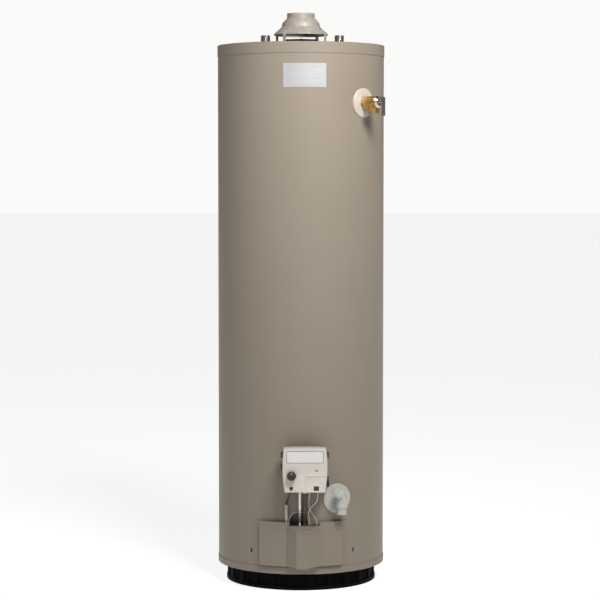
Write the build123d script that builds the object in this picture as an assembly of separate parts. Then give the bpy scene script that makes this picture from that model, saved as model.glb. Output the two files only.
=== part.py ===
"""Tall gas-fired tank water heater, built as separate pieces.

Millimetres. The origin is on the floor, on the tank's own axis. +Z is up, -Y is the front, where
the gas control and the burner door are, and +X is to the right of someone facing that front.
"""

import os
from math import cos, pi, radians, sin, sqrt, tan

from build123d import *

os.makedirs("parts", exist_ok=True)

# Fits
sheet_gap = 0.2  # between two lapped or stacked sheets
bore_gap = 0.06  # radial, a shaft or pin in its hole
body_gap = 0.3  # between curved faces of pieces that come apart
hole_gap = 1.0  # radial, a tube or a wire in a punched hole
cut_over = 1.0  # how far a cut runs past the face it opens

# Jacket, pan and top cover
jacket_diameter = 457.2
jacket_outer = jacket_diameter / 2
jacket_sheet = 1.0
base_ring_height = 48.0
pan_lip = 18.0
pan_plate = 1.5
cover_top = 1472.0
cover_skirt = 30.0
front_offset = 10.5  # the label, the control and the door's bulge sit right of the axis

# Base ring and air intake
base_ring_radius = jacket_outer - 23.6
base_ring_wall = 2.5
base_ring_lip = 1.5
base_ring_lip_height = 9.0
base_ring_flange = 24.0
window_count = 24
window_angle = 10.0
window_low = 12.0
window_high = 42.0
screen_wall = 1.2
arrestor_radius = 112.0
arrestor_plate = 5.0
arrestor_bore = 100.0
arrestor_hole = 5.0
arrestor_rings = ((24.0, 6), (48.0, 12), (72.0, 18))

# Tank
tank_outer = jacket_outer - 25.4  # one inch of foam
tank_wall = 2.5
tank_top = cover_top - 67
head_rise = 33.0
head_flange = 20.0
bottom_head_rim = 225.0
foam_bottom = 222.0

# Flue
flue_radius = 42.0
flue_wall = 2.5
flue_bottom = 254.0
flue_top = cover_top + 18
baffle_strip = 1.5
baffle_width = 56.0
baffle_swing = 20.0
baffle_bottom = 300.0
baffle_folds = 14
hanger_width = 16.0
hanger_peak = 4.0

# Water connections: 3/4 in pipe on 8 in centres
pipe_radius = 13.335
pipe_bore = 10.5
nipple_spacing = 203.2
nipple_offset = 4.0
nipple_rise = 30.0
nipple_thread = 26.0
nipple_waist = 0.2  # how far the pipe between the threads is turned down
nipple_depth = 57.0
cover_hole_gap = 3.0
dip_radius = 9.5
dip_wall = 1.5
dip_bottom = 330.0
dip_bead = 4.0
anode_reach = 105.0
anode_radius = 10.5
anode_bottom = 420.0
anode_hex = 27.0
anode_hex_height = 14.0
cap_radius = 20.0
cap_thickness = 3.0
cap_stem = 6.0

# Draft hood
vent_radius = 38.1
vent_collar = 13.0
hood_top = cover_top + 90
hood_sheet = 1.0
hood_shoulder = (50.0, cover_top + 65)
hood_waist = (53.7, cover_top + 52)
hood_flare = (74.0, cover_top + 34)
hood_edge = cover_top + 30
leg_count = 4
leg_turn = -34.2
leg_width = 10.0
leg_sheet = 1.2
leg_foot_reach = 94.0
leg_reach = 80.0
leg_lean = 0.62  # how far up the flare the leg is riveted
leg_end = 0.94  # how far up the flare the leg ends
rivet_radius = 2.0
rivet_head = 3.6
rivet_head_height = 1.2

# Label plate
label_width = 115.0
label_height = 63.5
label_centre = cover_top - 89.5
label_sheet = 0.5

# Side outlets: relief valve, drain valve
escutcheon_radius = 39.5
escutcheon_rim = 1.5
escutcheon_dome = 6.5
escutcheon_hub = 20.0

relief_azimuth = 46.9
relief_height = cover_top - 160.3
shank_inner_end = tank_outer - 9.2
relief_hex = 33.0
relief_hex_start = jacket_outer + 10.4
relief_hex_end = jacket_outer + 22.4
relief_barrel_radius = 17.0
relief_barrel_end = jacket_outer + 52.4
relief_outlet_at = jacket_outer + 35.4
relief_outlet_radius = 16.5
relief_outlet_drop = 28.7
relief_thread_radius = 12.05
relief_thread_depth = 14.0
relief_cavity_radius = 11.5
relief_seat = jacket_outer + 25.4
relief_seat_bore = 8.0
poppet_radius = 10.0
poppet_thickness = 3.5
stem_radius = 2.4
stem_end = jacket_outer + 66.9
bonnet_end = jacket_outer + 58.9
bonnet_base_radius = 15.0
bonnet_base = 2.0
bonnet_tip_radius = 11.0
bonnet_lug_width = 7.0
bonnet_lug_over = 3.0  # how far the lug runs past its pin
lever_pivot_out = jacket_outer + 65.9
lever_pivot_up = 10.0
lever_width = 13.0
lever_sheet = 2.0
lever_length = 50.0
lever_pin_radius = 1.5
lever_standoff = 1.6  # from the lug to the lever's plate
spring_wire = 1.6
relief_spring_turns = 7
probe_radius = 4.0
probe_inner_end = 92.0

drain_azimuth = 24.9
drain_height = 251.5
drain_centre = jacket_outer + 29.4
drain_ball = pipe_radius + 2.7
drain_flange_radius = 18.0
drain_flange = 5.0
drain_bore = 7.0
drain_outlet_radius = 13.4
drain_outlet_collar = 22.0
drain_outlet_drop = 40.0
drain_outlet_bore = 8.5
drain_stem_start = (-3.0, 8.0)
drain_stem_lean = (-14.0, 14.0, 16.0)
drain_stem_across = (1.0, 1.0, 0.0)  # square to the lean, across the knob's slot
drain_stem_radius = 3.0
drain_bonnet_radius = 11.0
drain_bonnet_end = 19.0
drain_cavity_radius = 7.5
drain_cavity_end = 10.0
drain_washer_radius = 7.0
drain_washer_thickness = 3.0
drain_knob_radius = 13.5
drain_knob_start = 20.5
drain_knob_thickness = 10.0
drain_knob_slot = 2.4
drain_knob_slot_depth = 2.0

# Gas control
control_front = jacket_outer + 71.4
control_bottom = 280.0
control_height = 118.0
cover_half_width_top = 56.2
cover_half_width_mid = 59.3
cover_half_width_bottom = 53.5
cover_crown = 1.5
cover_wall = 2.0
cover_depth = 38.0
cover_edge = 2.5
cover_step = 1.4
cover_step_up = 43.0
cover_step_start = 0.0
casting_front = jacket_outer + 55.4
casting_back = jacket_outer + 14.4
casting_half_width = 51.0
casting_bottom = control_bottom + 4
casting_top = control_bottom + 111
control_axis_up = control_bottom + 60
control_boss_radius = 19.0
control_boss_end = jacket_outer + 7.4
lug_depth = 14.0
left_lug_heights = (control_bottom + 95, control_bottom + 63)
right_lug_height = control_bottom + 94
lug_tall = 15.0
lug_reach = 64.5
inlet_height = control_bottom + 23.5
inlet_boss_radius = 13.0
inlet_boss_end = 64.5
inlet_thread_radius = 9.3
inlet_thread_depth = 14.0
inlet_depth = jacket_outer + 33.4
window_size = (98.0, 32.0)
window_up = control_bottom + 94
window_recess = 1.4
window_groove = 1.1  # the dark groove left all round the label
window_corner = 3.0
window_plate = 1.0
knob_x = -25.1
knob_up = control_bottom + 45
knob_radius = 12.5
knob_travel = 5.0
knob_back = control_front + knob_travel + 0.5  # clear of the cover when pushed right in
knob_front = control_front + 15.0
knob_shaft_radius = 4.0
knob_shaft_front = control_front + 12.0
knob_flange_front = jacket_outer + 67.3
knob_shaft_back = jacket_outer + 37.4
knob_bore_end = jacket_outer + 29.4
knob_flange_radius = 7.0
knob_flange = 1.7
knob_spring_radius = 5.6
knob_spring_wire = 0.8
knob_spring_turns = 4
button_x = -25.6
button_up = control_bottom + 11
button_radius = 4.5
button_front = jacket_outer + 74.4
button_back = jacket_outer + 63.4
button_stem_radius = 2.6
button_stem_back = jacket_outer + 43.4
button_bore_end = jacket_outer + 35.4
button_spring_radius = 3.6
button_spring_wire = 0.6
button_spring_turns = 5
lens_x = 41.5
lens_up = control_bottom + 58
lens_size = (7.0, 3.0)
lens_depth = 2.6
plug_x = 40.7
plug_up = control_bottom + 10.6
plug_size = (14.0, 12.0)
plug_front = jacket_outer + 70


def front(reach):
    """Y of a point this far out in front of the jacket's face."""
    return -jacket_outer - reach


# Tubes and wires below the control
manifold_radius = 6.35
manifold_bend = 16.0
manifold_route = (
    (10.0, front(33.4), casting_bottom),
    (10.0, front(33.4), 244.0),
    (10.0, front(-1.6), 190.0),
    (10.0, front(-1.6), 108.0),
    (0.0, 0.0, 108.0),
    (0.0, 0.0, 124.5),
)
pilot_radius = 3.175
pilot_bend = 12.0
pilot_route = (
    (-3.0, front(43.4), casting_bottom),
    (-3.0, front(43.4), 236.0),
    (-3.0, front(4.4), 190.0),
    (-3.0, front(4.4), 146.0),
    (-6.0, -117.05, 146.0),
)
manifold_nut = (18.0, 11.0)  # across flats, height
pilot_nut = (10.0, 9.0)
lead_radius = 2.2
bend_share = 0.45  # of the shorter run that a wire's bend takes up
igniter_route = (
    (-30.0, front(37.4), casting_bottom - 0.5),
    (-31.0, front(34.4), 266.0),
    (-36.5, front(18.4), 252.0),
    (-39.0, front(3.9), 242.0),
    (-39.0, front(2.9), 229.0),
)
electrode_route = (
    (-39.0, front(2.9), 205.0),
    (-39.5, front(1.9), 180.0),
    (-34.0, front(-8.6), 160.0),
    (-26.0, front(-32.6), 151.0),
    (-22.5, -160.0, 149.0),
    (-20.0, -114.1, 151.0),
)
boot_radius = 4.5
boot_chamfer = 1.0
boot_bottom = 197.0
boot_top = 237.0
boot_place = (-39.0, front(2.9))
thermo_radius = 1.0
thermo_route_right = (
    (44.0, front(62.4), 284.3),
    (44.5, front(59.4), 268.0),
    (42.0, front(50.4), 252.0),
    (28.0, front(34.4), 236.0),
    (19.6, front(23.4), 220.0),
    (21.5, front(10.9), 206.0),
    (24.5, front(5.9), 190.0),
    (24.0, front(-2.6), 172.0),
    (13.0, front(-28.6), 155.0),
    (9.5, -117.3, 151.0),
)
thermo_route_left = (
    (23.0, front(51.4), casting_bottom - 0.3),
    (22.6, front(44.4), 266.0),
    (20.6, front(27.4), 246.0),
    (22.0, front(17.4), 229.0),
    (31.0, front(11.4), 212.0),
    (42.0, front(5.4), 197.0),
    (43.0, front(1.4), 182.0),
    (34.0, front(-6.6), 166.0),
    (20.0, front(-28.6), 159.0),
    (12.0, -117.8, 155.0),
)

# Burner door opening, notch and inner door
opening_half_angle = 26.0
opening_bottom = 80.0
opening_top = 181.0
notch_centre = (-6.0, 191.0)
notch_radius = manifold_radius + 19.65
trim_width = 1.2
trim_depth = 2.0
chamber_half_angle = 21.0
chamber_bottom = 90.0
chamber_top = 174.0
inner_door_sheet = 1.5
inner_door_border = 9.0
gasket_thickness = 1.6
glass_azimuth = 15.5
glass_up = 135.0
glass_radius = 12.0
glass_lap = 2.0  # how far the glass covers the door round its hole
glass_thickness = 2.0
screw_radius = 2.0
screw_head = 4.2
screw_head_height = 2.2
screw_length = 9.0
jacket_slot_azimuths = (-35.8, 38.1)
jacket_slot_up = 106.5
jacket_slot = (4.6, 12.5)

# Burner and pilot
burner_radius = 82.0
burner_sheet = 1.5
burner_low = 138.0
burner_high = 160.0
burner_throat = 16.0
burner_neck = 8.0  # how far the throat hangs below the bowl
burner_shoulder = 8.0  # from the rim in to the flatter part
burner_low_rise = 4.0
burner_top_drop = 2.0
port_inset = 3.0
port_count = 24
port_size = 5.0
bridge_width = 10.0
orifice_hex = 15.0
orifice_hex_height = 6.0
orifice_neck = 5.0
orifice_neck_height = 7.0
orifice_jet = 1.1
pilot_place = (-6.0, -112.0)
pilot_head_radius = 5.0
pilot_span = (140.0, 172.0)
thermopile_x = 10.0
thermopile_radius = 5.0
electrode_x = -20.0
electrode_radius = 2.0
electrode_margin = 4.0
electrode_span = (146.0, 176.0)
pilot_plate_up = 158.0
pilot_plate = 2.0

# Outer door
door_sheet = 1.0
door_proud = 10.0
door_half_angle = 28.0
door_flange_angle = 33.3
door_bottom = 71.0
door_top = 190.0
bulge_front = jacket_outer + 36.4
bulge_high = 180.0
bulge_base_half = 47.5
bulge_flat_half = 17.0
bulge_slope = 9.0
bulge_middle = 5.0  # the bulge's middle, right of the axis
bead_span = (164.5, 170.5)  # a pressed bead below the bulge's top
bead_proud = 1.3
tab_half_width = bulge_flat_half - 1.0
tab_bottom = door_bottom - 3.0
tab_height = 6.0
tube_gap_angles = (-12.6, 13.4)  # where the top flange is left off
front_gap_angles = (-7.6, 12.5)  # where the face is cut down as well
front_gap_low = 181.0

# Worked-out radii and heights
jacket_inner = jacket_outer - jacket_sheet
skirt_inner = jacket_outer + sheet_gap
skirt_outer = skirt_inner + jacket_sheet
tank_inner = tank_outer - tank_wall
head_radius = tank_inner - bore_gap
cover_under = cover_top - jacket_sheet
pan_top = base_ring_height + pan_plate
nipple_top = cover_top + nipple_rise
nipple_bottom = nipple_top - nipple_rise - nipple_depth
nipple_places = (nipple_offset - nipple_spacing / 2, nipple_offset + nipple_spacing / 2)
shank_hole = pipe_radius + bore_gap
lever_pivot = (0.0, lever_pivot_up, lever_pivot_out)


def save(node, solid):
    """Write one node's solids to its STEP file."""
    export_step(solid, f"parts/{node}.step")


def rod(radius, low, high):
    """Upright cylinder on the Z axis."""
    return Pos(0, 0, low) * extrude(Circle(radius), high - low)


def ring(outer, inner, low, high):
    """Upright tube on the Z axis."""
    return Pos(0, 0, low) * extrude(Circle(outer) - Circle(inner), high - low)


def hexagon(across_flats, low, high):
    """Upright hexagonal bar on the Z axis."""
    return Pos(0, 0, low) * extrude(RegularPolygon(across_flats / sqrt(3), 6), high - low)


def turned(*points):
    """Solid of revolution about Z from (radius, height) corners."""
    return revolve(Plane.XZ * make_face(Polyline(*points, close=True)), Axis.Z)


def spot(radius, azimuth):
    """Plan position at a radius and an angle from the front, positive to the right."""
    return (radius * sin(radians(azimuth)), -radius * cos(radians(azimuth)))


def sector(inner, outer, start, end, low, high):
    """Curved plate between two radii, two azimuths and two heights."""
    middle = (start + end) / 2
    outline = [
        ThreePointArc(spot(outer, start), spot(outer, middle), spot(outer, end)),
        Line(spot(outer, end), spot(inner, end)),
        ThreePointArc(spot(inner, end), spot(inner, middle), spot(inner, start)),
        Line(spot(inner, start), spot(outer, start)),
    ]
    return Pos(0, 0, low) * extrude(make_face(outline), high - low)


def wall_plane(azimuth, height):
    """Plane on the axis whose X is tangential, whose Y is up and whose Z points out of the jacket."""
    angle = radians(azimuth)
    return Plane((0, 0, height), x_dir=(cos(angle), sin(angle), 0), z_dir=(sin(angle), -cos(angle), 0))


def front_plane(x, height):
    """Plane that faces the front at x and height, whose Z distance is measured from the tank's axis."""
    return Plane((x, 0, height), x_dir=(1, 0, 0), z_dir=(0, -1, 0))


def bend_radii(points):
    """Arc radius at each inner corner of a wire: as large as its two runs allow."""
    corners = [Vector(*p) for p in points]
    radii = []
    for before, here, after in zip(corners, corners[1:], corners[2:]):
        turn = (here - before).get_angle(after - here)
        shorter = min((here - before).length, (after - here).length)
        radii.append(bend_share * shorter / tan(radians(turn) / 2))
    return radii


def piped(points, radius, bend):
    """Round bar along straight runs joined by tangent arcs."""
    path = FilletPolyline(*points, radius=bend)
    start = Plane(path @ 0, z_dir=path % 0)
    return sweep(start * Circle(radius), path=path)


def wire(name, points, radius):
    """Flexible wire along its route, with its bend radii and its volume reported."""
    radii = bend_radii(points)
    solid = piped(points, radius, radii)
    length = FilletPolyline(*points, radius=radii).length
    share = solid.volume / (pi * radius**2 * length)
    print(name, "bend radii", [round(r, 1) for r in radii])
    print(name, "length", round(length, 1), "volume", round(share, 4))
    return solid


def coil(wire_radius, mean_radius, low, high, turns):
    """Helical spring on the Z axis that just fills its space."""
    rise = high - low - 2 * wire_radius
    path = Helix(pitch=rise / turns, height=rise, radius=mean_radius)
    section = Plane(path @ 0, z_dir=path % 0) * Circle(wire_radius)
    return Pos(0, 0, low + wire_radius) * sweep(section, path=path)


def dished_head(rim, outer, holes):
    """Dished steel head with a flange down inside the shell, and (x, y, radius) holes."""
    sphere = (outer**2 + head_rise**2) / (2 * head_rise)

    def crown(radius, drop):
        return (radius, rim + head_rise - drop - sphere + sqrt(sphere**2 - radius**2))

    inner = outer - tank_wall
    profile = [
        ThreePointArc(crown(0, 0), crown(outer / 2, 0), crown(outer, 0)),
        Line(crown(outer, 0), (outer, rim - head_flange)),
        Line((outer, rim - head_flange), (inner, rim - head_flange)),
        Line((inner, rim - head_flange), crown(inner, tank_wall)),
        ThreePointArc(crown(inner, tank_wall), crown(outer / 2, tank_wall), crown(0, tank_wall)),
        Line(crown(0, tank_wall), crown(0, 0)),
    ]
    head = revolve(Plane.XZ * make_face(profile), Axis.Z)
    for x, y, radius in holes:
        head -= Pos(x, y, 0) * rod(radius, rim - head_flange, rim + 2 * head_rise)
    return head


def make_base_ring():
    """Black ring that the heater stands on, with air windows around it."""
    outer = base_ring_radius
    inner = outer - base_ring_wall
    flange_low = base_ring_height - base_ring_wall
    body = turned(
        (inner, 0),
        (outer + base_ring_lip, 0),
        (outer + base_ring_lip, base_ring_lip_height),
        (outer, base_ring_lip_height),
        (outer, base_ring_height),
        (outer - base_ring_flange, base_ring_height),
        (outer - base_ring_flange, flange_low),
        (inner, flange_low),
    )
    pitch = 360 / window_count
    depth = base_ring_wall + 2 * base_ring_lip
    for index in range(window_count):
        middle = index * pitch
        start, end = middle - window_angle / 2, middle + window_angle / 2
        body -= sector(outer - depth, outer + depth, start, end, window_low, window_high)
    return body


def make_intake_screen():
    """Fine screen just inside the base ring's windows."""
    outer = base_ring_radius - base_ring_wall - sheet_gap
    top = base_ring_height - base_ring_wall - sheet_gap
    return ring(outer, outer - screen_wall, base_ring_lip, top)


def make_base_pan():
    """Painted pan that carries the tank and the jacket's lower edge."""
    pan = turned(
        (arrestor_bore, base_ring_height),
        (skirt_outer, base_ring_height),
        (skirt_outer, base_ring_height + pan_lip),
        (skirt_inner, base_ring_height + pan_lip),
        (skirt_inner, pan_top),
        (arrestor_bore, pan_top),
    )
    return pan


def make_flame_arrestor():
    """Perforated plate over the pan's air inlet."""
    plate = rod(arrestor_radius, pan_top, pan_top + arrestor_plate)
    for radius, count in arrestor_rings:
        hole = rod(arrestor_hole, base_ring_height, pan_top + 2 * arrestor_plate)
        plate -= PolarLocations(radius, count) * hole
    return plate


def side_bar(azimuth, height, radius, start, end):
    """Round bar that stands out of the tank's side."""
    return wall_plane(azimuth, height) * rod(radius, start, end)


def control_bar(radius, start, end):
    """Round bar on the gas control's shank axis."""
    return front_plane(front_offset, control_axis_up) * rod(radius, start, end)


def side_holes(radius, start, end):
    """Bars for the three holes that the side fittings pass through."""
    relief = side_bar(relief_azimuth, relief_height, radius, start, end)
    drain = side_bar(drain_azimuth, drain_height, radius, start, end)
    return [relief, drain, control_bar(radius, start, end)]


def make_tank_shell():
    """Welded steel cylinder: the water above the bottom head, the burner's chamber below it."""
    shell = ring(tank_outer, tank_inner, pan_top, tank_top)
    for hole in side_holes(shank_hole, tank_inner - tank_wall, tank_outer + tank_wall):
        shell -= hole
    reach = 3 * tank_wall
    shell -= sector(
        tank_inner - reach,
        tank_outer + reach,
        -chamber_half_angle,
        chamber_half_angle,
        chamber_bottom,
        chamber_top,
    )
    for screw in inner_door_screw_bars(screw_radius + bore_gap):
        shell -= screw
    return shell


def top_holes(pipe_gap, flue_gap):
    """Holes for the nipples, the anode's plug and the flue in the top of the tank."""
    holes = [(x, 0, pipe_radius + pipe_gap) for x in nipple_places]
    return holes + [(0, anode_reach, pipe_radius + pipe_gap), (0, 0, flue_radius + flue_gap)]


def make_baffle():
    """Folded steel strip that hangs in the flue by a cross bar."""
    fold = (flue_top - baffle_bottom) / baffle_folds
    line = [(baffle_swing * (-1) ** i, baffle_bottom + i * fold) for i in range(baffle_folds)]
    line.append((0, flue_top))
    back = [(x + baffle_strip, z) for x, z in reversed(line)]
    strip = Plane.XZ * make_face(Polyline(*line, *back, close=True))
    body = extrude(strip, baffle_width / 2, both=True)
    half = flue_radius - flue_wall / 2
    bar_top = flue_top + baffle_strip
    bar = [(-half, flue_top), (half, flue_top), (half, bar_top), (hanger_peak, bar_top)]
    bar += [(0, flue_top + hanger_peak), (-hanger_peak, bar_top), (-half, bar_top)]
    return body + extrude(Plane.XZ * make_face(Polyline(*bar, close=True)), hanger_width / 2, both=True)


def make_anode():
    """Sacrificial rod under its hexagonal plug."""
    seat = head_seat(anode_reach)
    plug = rod(pipe_radius, seat - head_flange, seat) + hexagon(anode_hex, seat, seat + anode_hex_height)
    return Pos(0, anode_reach, 0) * (plug + rod(anode_radius, anode_bottom, seat))


def head_seat(radius):
    """Height just above the top head at a radius."""
    reach = max(radius - pipe_radius, 0)
    sphere = (head_radius**2 + head_rise**2) / (2 * head_rise)
    return tank_top + head_rise - sphere + sqrt(sphere**2 - reach**2) + sheet_gap


def make_anode_cap():
    """Plastic plug in the top cover over the anode."""
    stem = cap_radius - sheet_gap
    cap = rod(cap_radius + cover_hole_gap, cover_top, cover_top + cap_thickness)
    return Pos(0, anode_reach, 0) * (cap + rod(stem, cover_top - cap_stem, cover_top))


def make_nipple(x):
    """Steel pipe nipple screwed into the top head."""
    waist = pipe_radius - nipple_waist
    pipe = ring(waist, pipe_bore, nipple_bottom, nipple_top - nipple_thread)
    return Pos(x, 0, 0) * (pipe + ring(pipe_radius, pipe_bore, nipple_top - nipple_thread, nipple_top))


def make_dip_tube():
    """Plastic tube that takes cold water to the bottom of the tank."""
    top = nipple_top - dip_bead
    tube = ring(dip_radius, dip_radius - dip_wall, dip_bottom, top)
    bead = ring(pipe_bore - bore_gap, dip_radius - dip_wall, top - dip_bead, top)
    return Pos(nipple_places[0], 0, 0) * (tube + bead)


def burner_opening(inner, outer):
    """Solid that fills the jacket's burner opening and the notch above it."""
    block = sector(inner, outer, -opening_half_angle, opening_half_angle, opening_bottom, opening_top)
    return block + notch_bar(notch_radius, inner, outer)


def notch_bar(radius, inner, outer):
    """Arched solid that fills the tube notch."""
    x, height = notch_centre
    arch = Circle(radius) + Pos(0, -radius / 2) * Rectangle(2 * radius, radius)
    arch_bar = Pos(0, 0, inner - trim_depth) * extrude(arch, outer - inner + trim_depth)
    shape = front_plane(x, height) * arch_bar
    return shape - rod(2 * outer, 0, opening_top - hole_gap)


def make_jacket():
    """Painted steel jacket with its burner opening and the holes for the side fittings."""
    jacket = ring(jacket_outer, jacket_inner, pan_top, cover_under)
    reach = 6 * jacket_sheet
    jacket -= burner_opening(jacket_inner - reach, jacket_outer + reach)
    for hole in side_holes(pipe_radius + cover_hole_gap, jacket_inner - reach, jacket_outer + reach):
        jacket -= hole
    width, height = jacket_slot
    slot = Pos(0, 0, jacket_inner - reach) * extrude(Rot(0, 0, 90) * SlotOverall(height, width), 2 * reach)
    for azimuth in jacket_slot_azimuths:
        jacket -= wall_plane(azimuth, jacket_slot_up) * slot
    return jacket


def make_insulation():
    """Foam between the tank and the jacket, and over the top head."""
    foam = rod(jacket_inner - sheet_gap, foam_bottom, cover_under - sheet_gap)
    sphere = (head_radius**2 + head_rise**2) / (2 * head_rise)
    wall = tank_outer + sheet_gap
    peak = tank_top + head_rise + sheet_gap
    mid = peak - sphere + sqrt(sphere**2 - (wall / 2) ** 2)
    rim = tank_top + 2 * sheet_gap
    profile = [
        Line((0, foam_bottom - cut_over), (wall, foam_bottom - cut_over)),
        Line((wall, foam_bottom - cut_over), (wall, rim)),
        ThreePointArc((wall, rim), (wall / 2, mid), (0, peak)),
        Line((0, peak), (0, foam_bottom - cut_over)),
    ]
    foam -= revolve(Plane.XZ * make_face(profile), Axis.Z)
    for x, y, radius in top_holes(sheet_gap, sheet_gap):
        foam -= Pos(x, y, 0) * rod(radius, foam_bottom, cover_top)
    foam -= Pos(0, anode_reach, 0) * rod(cap_radius, tank_top, cover_top)
    for hole in side_holes(pipe_radius + sheet_gap, tank_inner, jacket_outer + cut_over):
        foam -= hole
    return foam


def make_top_cover():
    """Flat painted lid with a rolled-down skirt."""
    cover = rod(skirt_outer, cover_top - cover_skirt, cover_top)
    cover -= rod(skirt_inner, cover_top - cover_skirt, cover_under)
    for x in nipple_places:
        hole = rod(pipe_radius + cover_hole_gap, cover_under - cut_over, cover_top + cut_over)
        cover -= Pos(x, 0, 0) * hole
    cover -= Pos(0, anode_reach, 0) * rod(cap_radius, cover_under - cut_over, cover_top + cut_over)
    cover -= rod(flue_radius + 2 * cover_hole_gap, cover_under - cut_over, cover_top + cut_over)
    for bar in leg_foot_bars(rivet_radius + bore_gap):
        cover -= bar
    return cover


def make_draft_hood():
    """Galvanised hood that draws room air in over the flue."""
    collar_low = hood_top - vent_collar
    outside = [
        (vent_radius, hood_top),
        (vent_radius, collar_low),
        hood_shoulder,
        hood_waist,
        hood_flare,
        (hood_flare[0], hood_edge),
    ]
    inside = [(r - hood_sheet, z) for r, z in reversed(outside)]
    hood = turned(*outside, *inside)
    for bar in leg_lean_bars(rivet_radius + bore_gap):
        hood -= bar
    return hood


def leg_lean_plane(azimuth):
    """Plane on the hood's flare where a leg is riveted, with Z along the flare's normal."""
    along = (hood_flare[0] - hood_waist[0], hood_flare[1] - hood_waist[1])
    length = sqrt(along[0] ** 2 + along[1] ** 2)
    normal = (-along[1] / length, along[0] / length)
    point = (hood_flare[0] - leg_lean * along[0], hood_flare[1] - leg_lean * along[1])
    radial = Vector(*spot(1, azimuth), 0)
    across = Vector(*spot(1, azimuth + 90), 0)
    return Plane(
        radial * point[0] + Vector(0, 0, point[1]),
        x_dir=across,
        z_dir=radial * normal[0] + Vector(0, 0, normal[1]),
    )


def leg_azimuths():
    """The four legs' azimuths."""
    return [leg_turn + index * 360 / leg_count for index in range(leg_count)]


def leg_lean_bars(radius):
    """Bars on the axes of the rivets that join the legs to the hood."""
    bar = rod(radius, -3 * hood_sheet, 4 * leg_sheet)
    return [leg_lean_plane(azimuth) * bar for azimuth in leg_azimuths()]


def leg_foot_bars(radius):
    """Bars on the axes of the rivets that join the legs to the top cover."""
    middle = (leg_foot_reach + leg_reach) / 2
    low, high = cover_under - 2 * jacket_sheet, cover_top + 4 * leg_sheet
    return [Pos(*spot(middle, azimuth), 0) * rod(radius, low, high) for azimuth in leg_azimuths()]


def make_hood_legs():
    """Four bent straps that carry the hood."""
    along = (hood_flare[0] - hood_waist[0], hood_flare[1] - hood_waist[1])
    length = sqrt(along[0] ** 2 + along[1] ** 2)
    lift = leg_sheet / 2 + sheet_gap / 2
    normal = (-along[1] / length * lift, along[0] / length * lift)
    low = (hood_flare[0] + normal[0], hood_flare[1] + normal[1])
    run = (leg_reach - low[0]) / along[0]
    knee = (leg_reach, low[1] + run * along[1])
    top = (low[0] - leg_end * along[0], low[1] - leg_end * along[1])
    foot_level = cover_top + leg_sheet / 2
    line = Polyline((leg_foot_reach, foot_level), (leg_reach, foot_level), knee, top)
    strap = trace(line, leg_sheet)
    legs = []
    for azimuth in leg_azimuths():
        place = Plane((0, 0, 0), x_dir=(*spot(1, azimuth), 0), z_dir=(*spot(-1, azimuth + 90), 0))
        leg = extrude(place * strap, leg_width / 2, both=True)
        for bar in leg_lean_bars(rivet_radius + bore_gap) + leg_foot_bars(rivet_radius + bore_gap):
            leg -= bar
        legs.append(leg)
    return Compound(legs)


def make_rivets():
    """Pop rivets at the legs' feet and on the hood's flare."""
    rivets = []
    for azimuth in leg_azimuths():
        seat = leg_sheet + sheet_gap
        shank = rod(rivet_radius, -2 * hood_sheet, seat)
        crown = seat + rivet_head_height
        head = turned((0, seat), (rivet_head, seat), (rivet_radius, crown), (0, crown))
        rivets.append(leg_lean_plane(azimuth) * (shank + head))
        middle = (leg_foot_reach + leg_reach) / 2
        shank = rod(rivet_radius, -jacket_sheet, seat)
        rivets.append(Pos(*spot(middle, azimuth), cover_top) * (shank + head))
    return Compound(rivets)


def make_label_plate():
    """Thin rating plate on the jacket, left blank."""
    reach = jacket_outer + bore_gap
    centre = front_offset / jacket_outer * 180 / pi
    half = label_width / 2 / jacket_outer * 180 / pi
    low = label_centre - label_height / 2
    return sector(reach, reach + label_sheet, centre - half, centre + half, low, low + label_height)


def make_escutcheon(azimuth, height):
    """Domed plastic ring that hides a fitting's hole in the jacket."""
    hole = pipe_radius + sheet_gap
    rim = jacket_outer + escutcheon_rim
    top = jacket_outer + escutcheon_dome
    low = jacket_outer - escutcheon_dome
    dish = turned(
        (hole, low),
        (escutcheon_radius, low),
        (escutcheon_radius, rim),
        (escutcheon_radius - escutcheon_rim, rim + escutcheon_rim),
        (escutcheon_hub, top),
        (hole, top),
    )
    return wall_plane(azimuth, height) * dish - rod(jacket_outer + bore_gap, 0, cover_top)


def make_relief_body():
    """Brass relief valve body with its outlet turned down."""
    hub = jacket_outer + escutcheon_dome
    body = rod(pipe_radius, shank_inner_end, relief_hex_start)
    body += hexagon(relief_hex, relief_hex_start, relief_hex_end)
    body += rod(relief_barrel_radius, relief_hex_end, relief_barrel_end)
    down = Plane((0, 0, relief_outlet_at), x_dir=(1, 0, 0), z_dir=(0, -1, 0))
    body += down * rod(relief_outlet_radius, 0, relief_outlet_drop)
    body -= rod(relief_cavity_radius, relief_seat, relief_barrel_end + cut_over)
    body -= rod(relief_seat_bore, shank_inner_end - cut_over, relief_seat + cut_over)
    thread_start = relief_outlet_drop - relief_thread_depth
    body -= down * rod(relief_thread_radius, thread_start, relief_outlet_drop + cut_over)
    body -= down * rod(relief_seat_bore, 0, relief_outlet_drop)
    return wall_plane(relief_azimuth, relief_height) * body


def make_relief_bonnet():
    """Pressed cap that closes the valve and carries the lever's pin."""
    start = relief_barrel_end
    cap = turned(
        (0, start),
        (bonnet_base_radius, start),
        (bonnet_base_radius, start + bonnet_base),
        (bonnet_tip_radius, bonnet_end),
        (0, bonnet_end),
    )
    lug_low = lever_pivot_up - bonnet_lug_width / 2
    lug_length = lever_pivot_out + bonnet_lug_over - start
    lug_align = (Align.CENTER, Align.MIN, Align.MIN)
    lug = Box(bonnet_lug_width, bonnet_lug_width, lug_length, align=lug_align)
    cap += Pos(0, lug_low, start) * lug
    cap -= rod(stem_radius + bore_gap, start - cut_over, stem_end)
    cap -= pin_bar(lever_pin_radius + bore_gap, bonnet_lug_width)
    return wall_plane(relief_azimuth, relief_height) * cap


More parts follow.
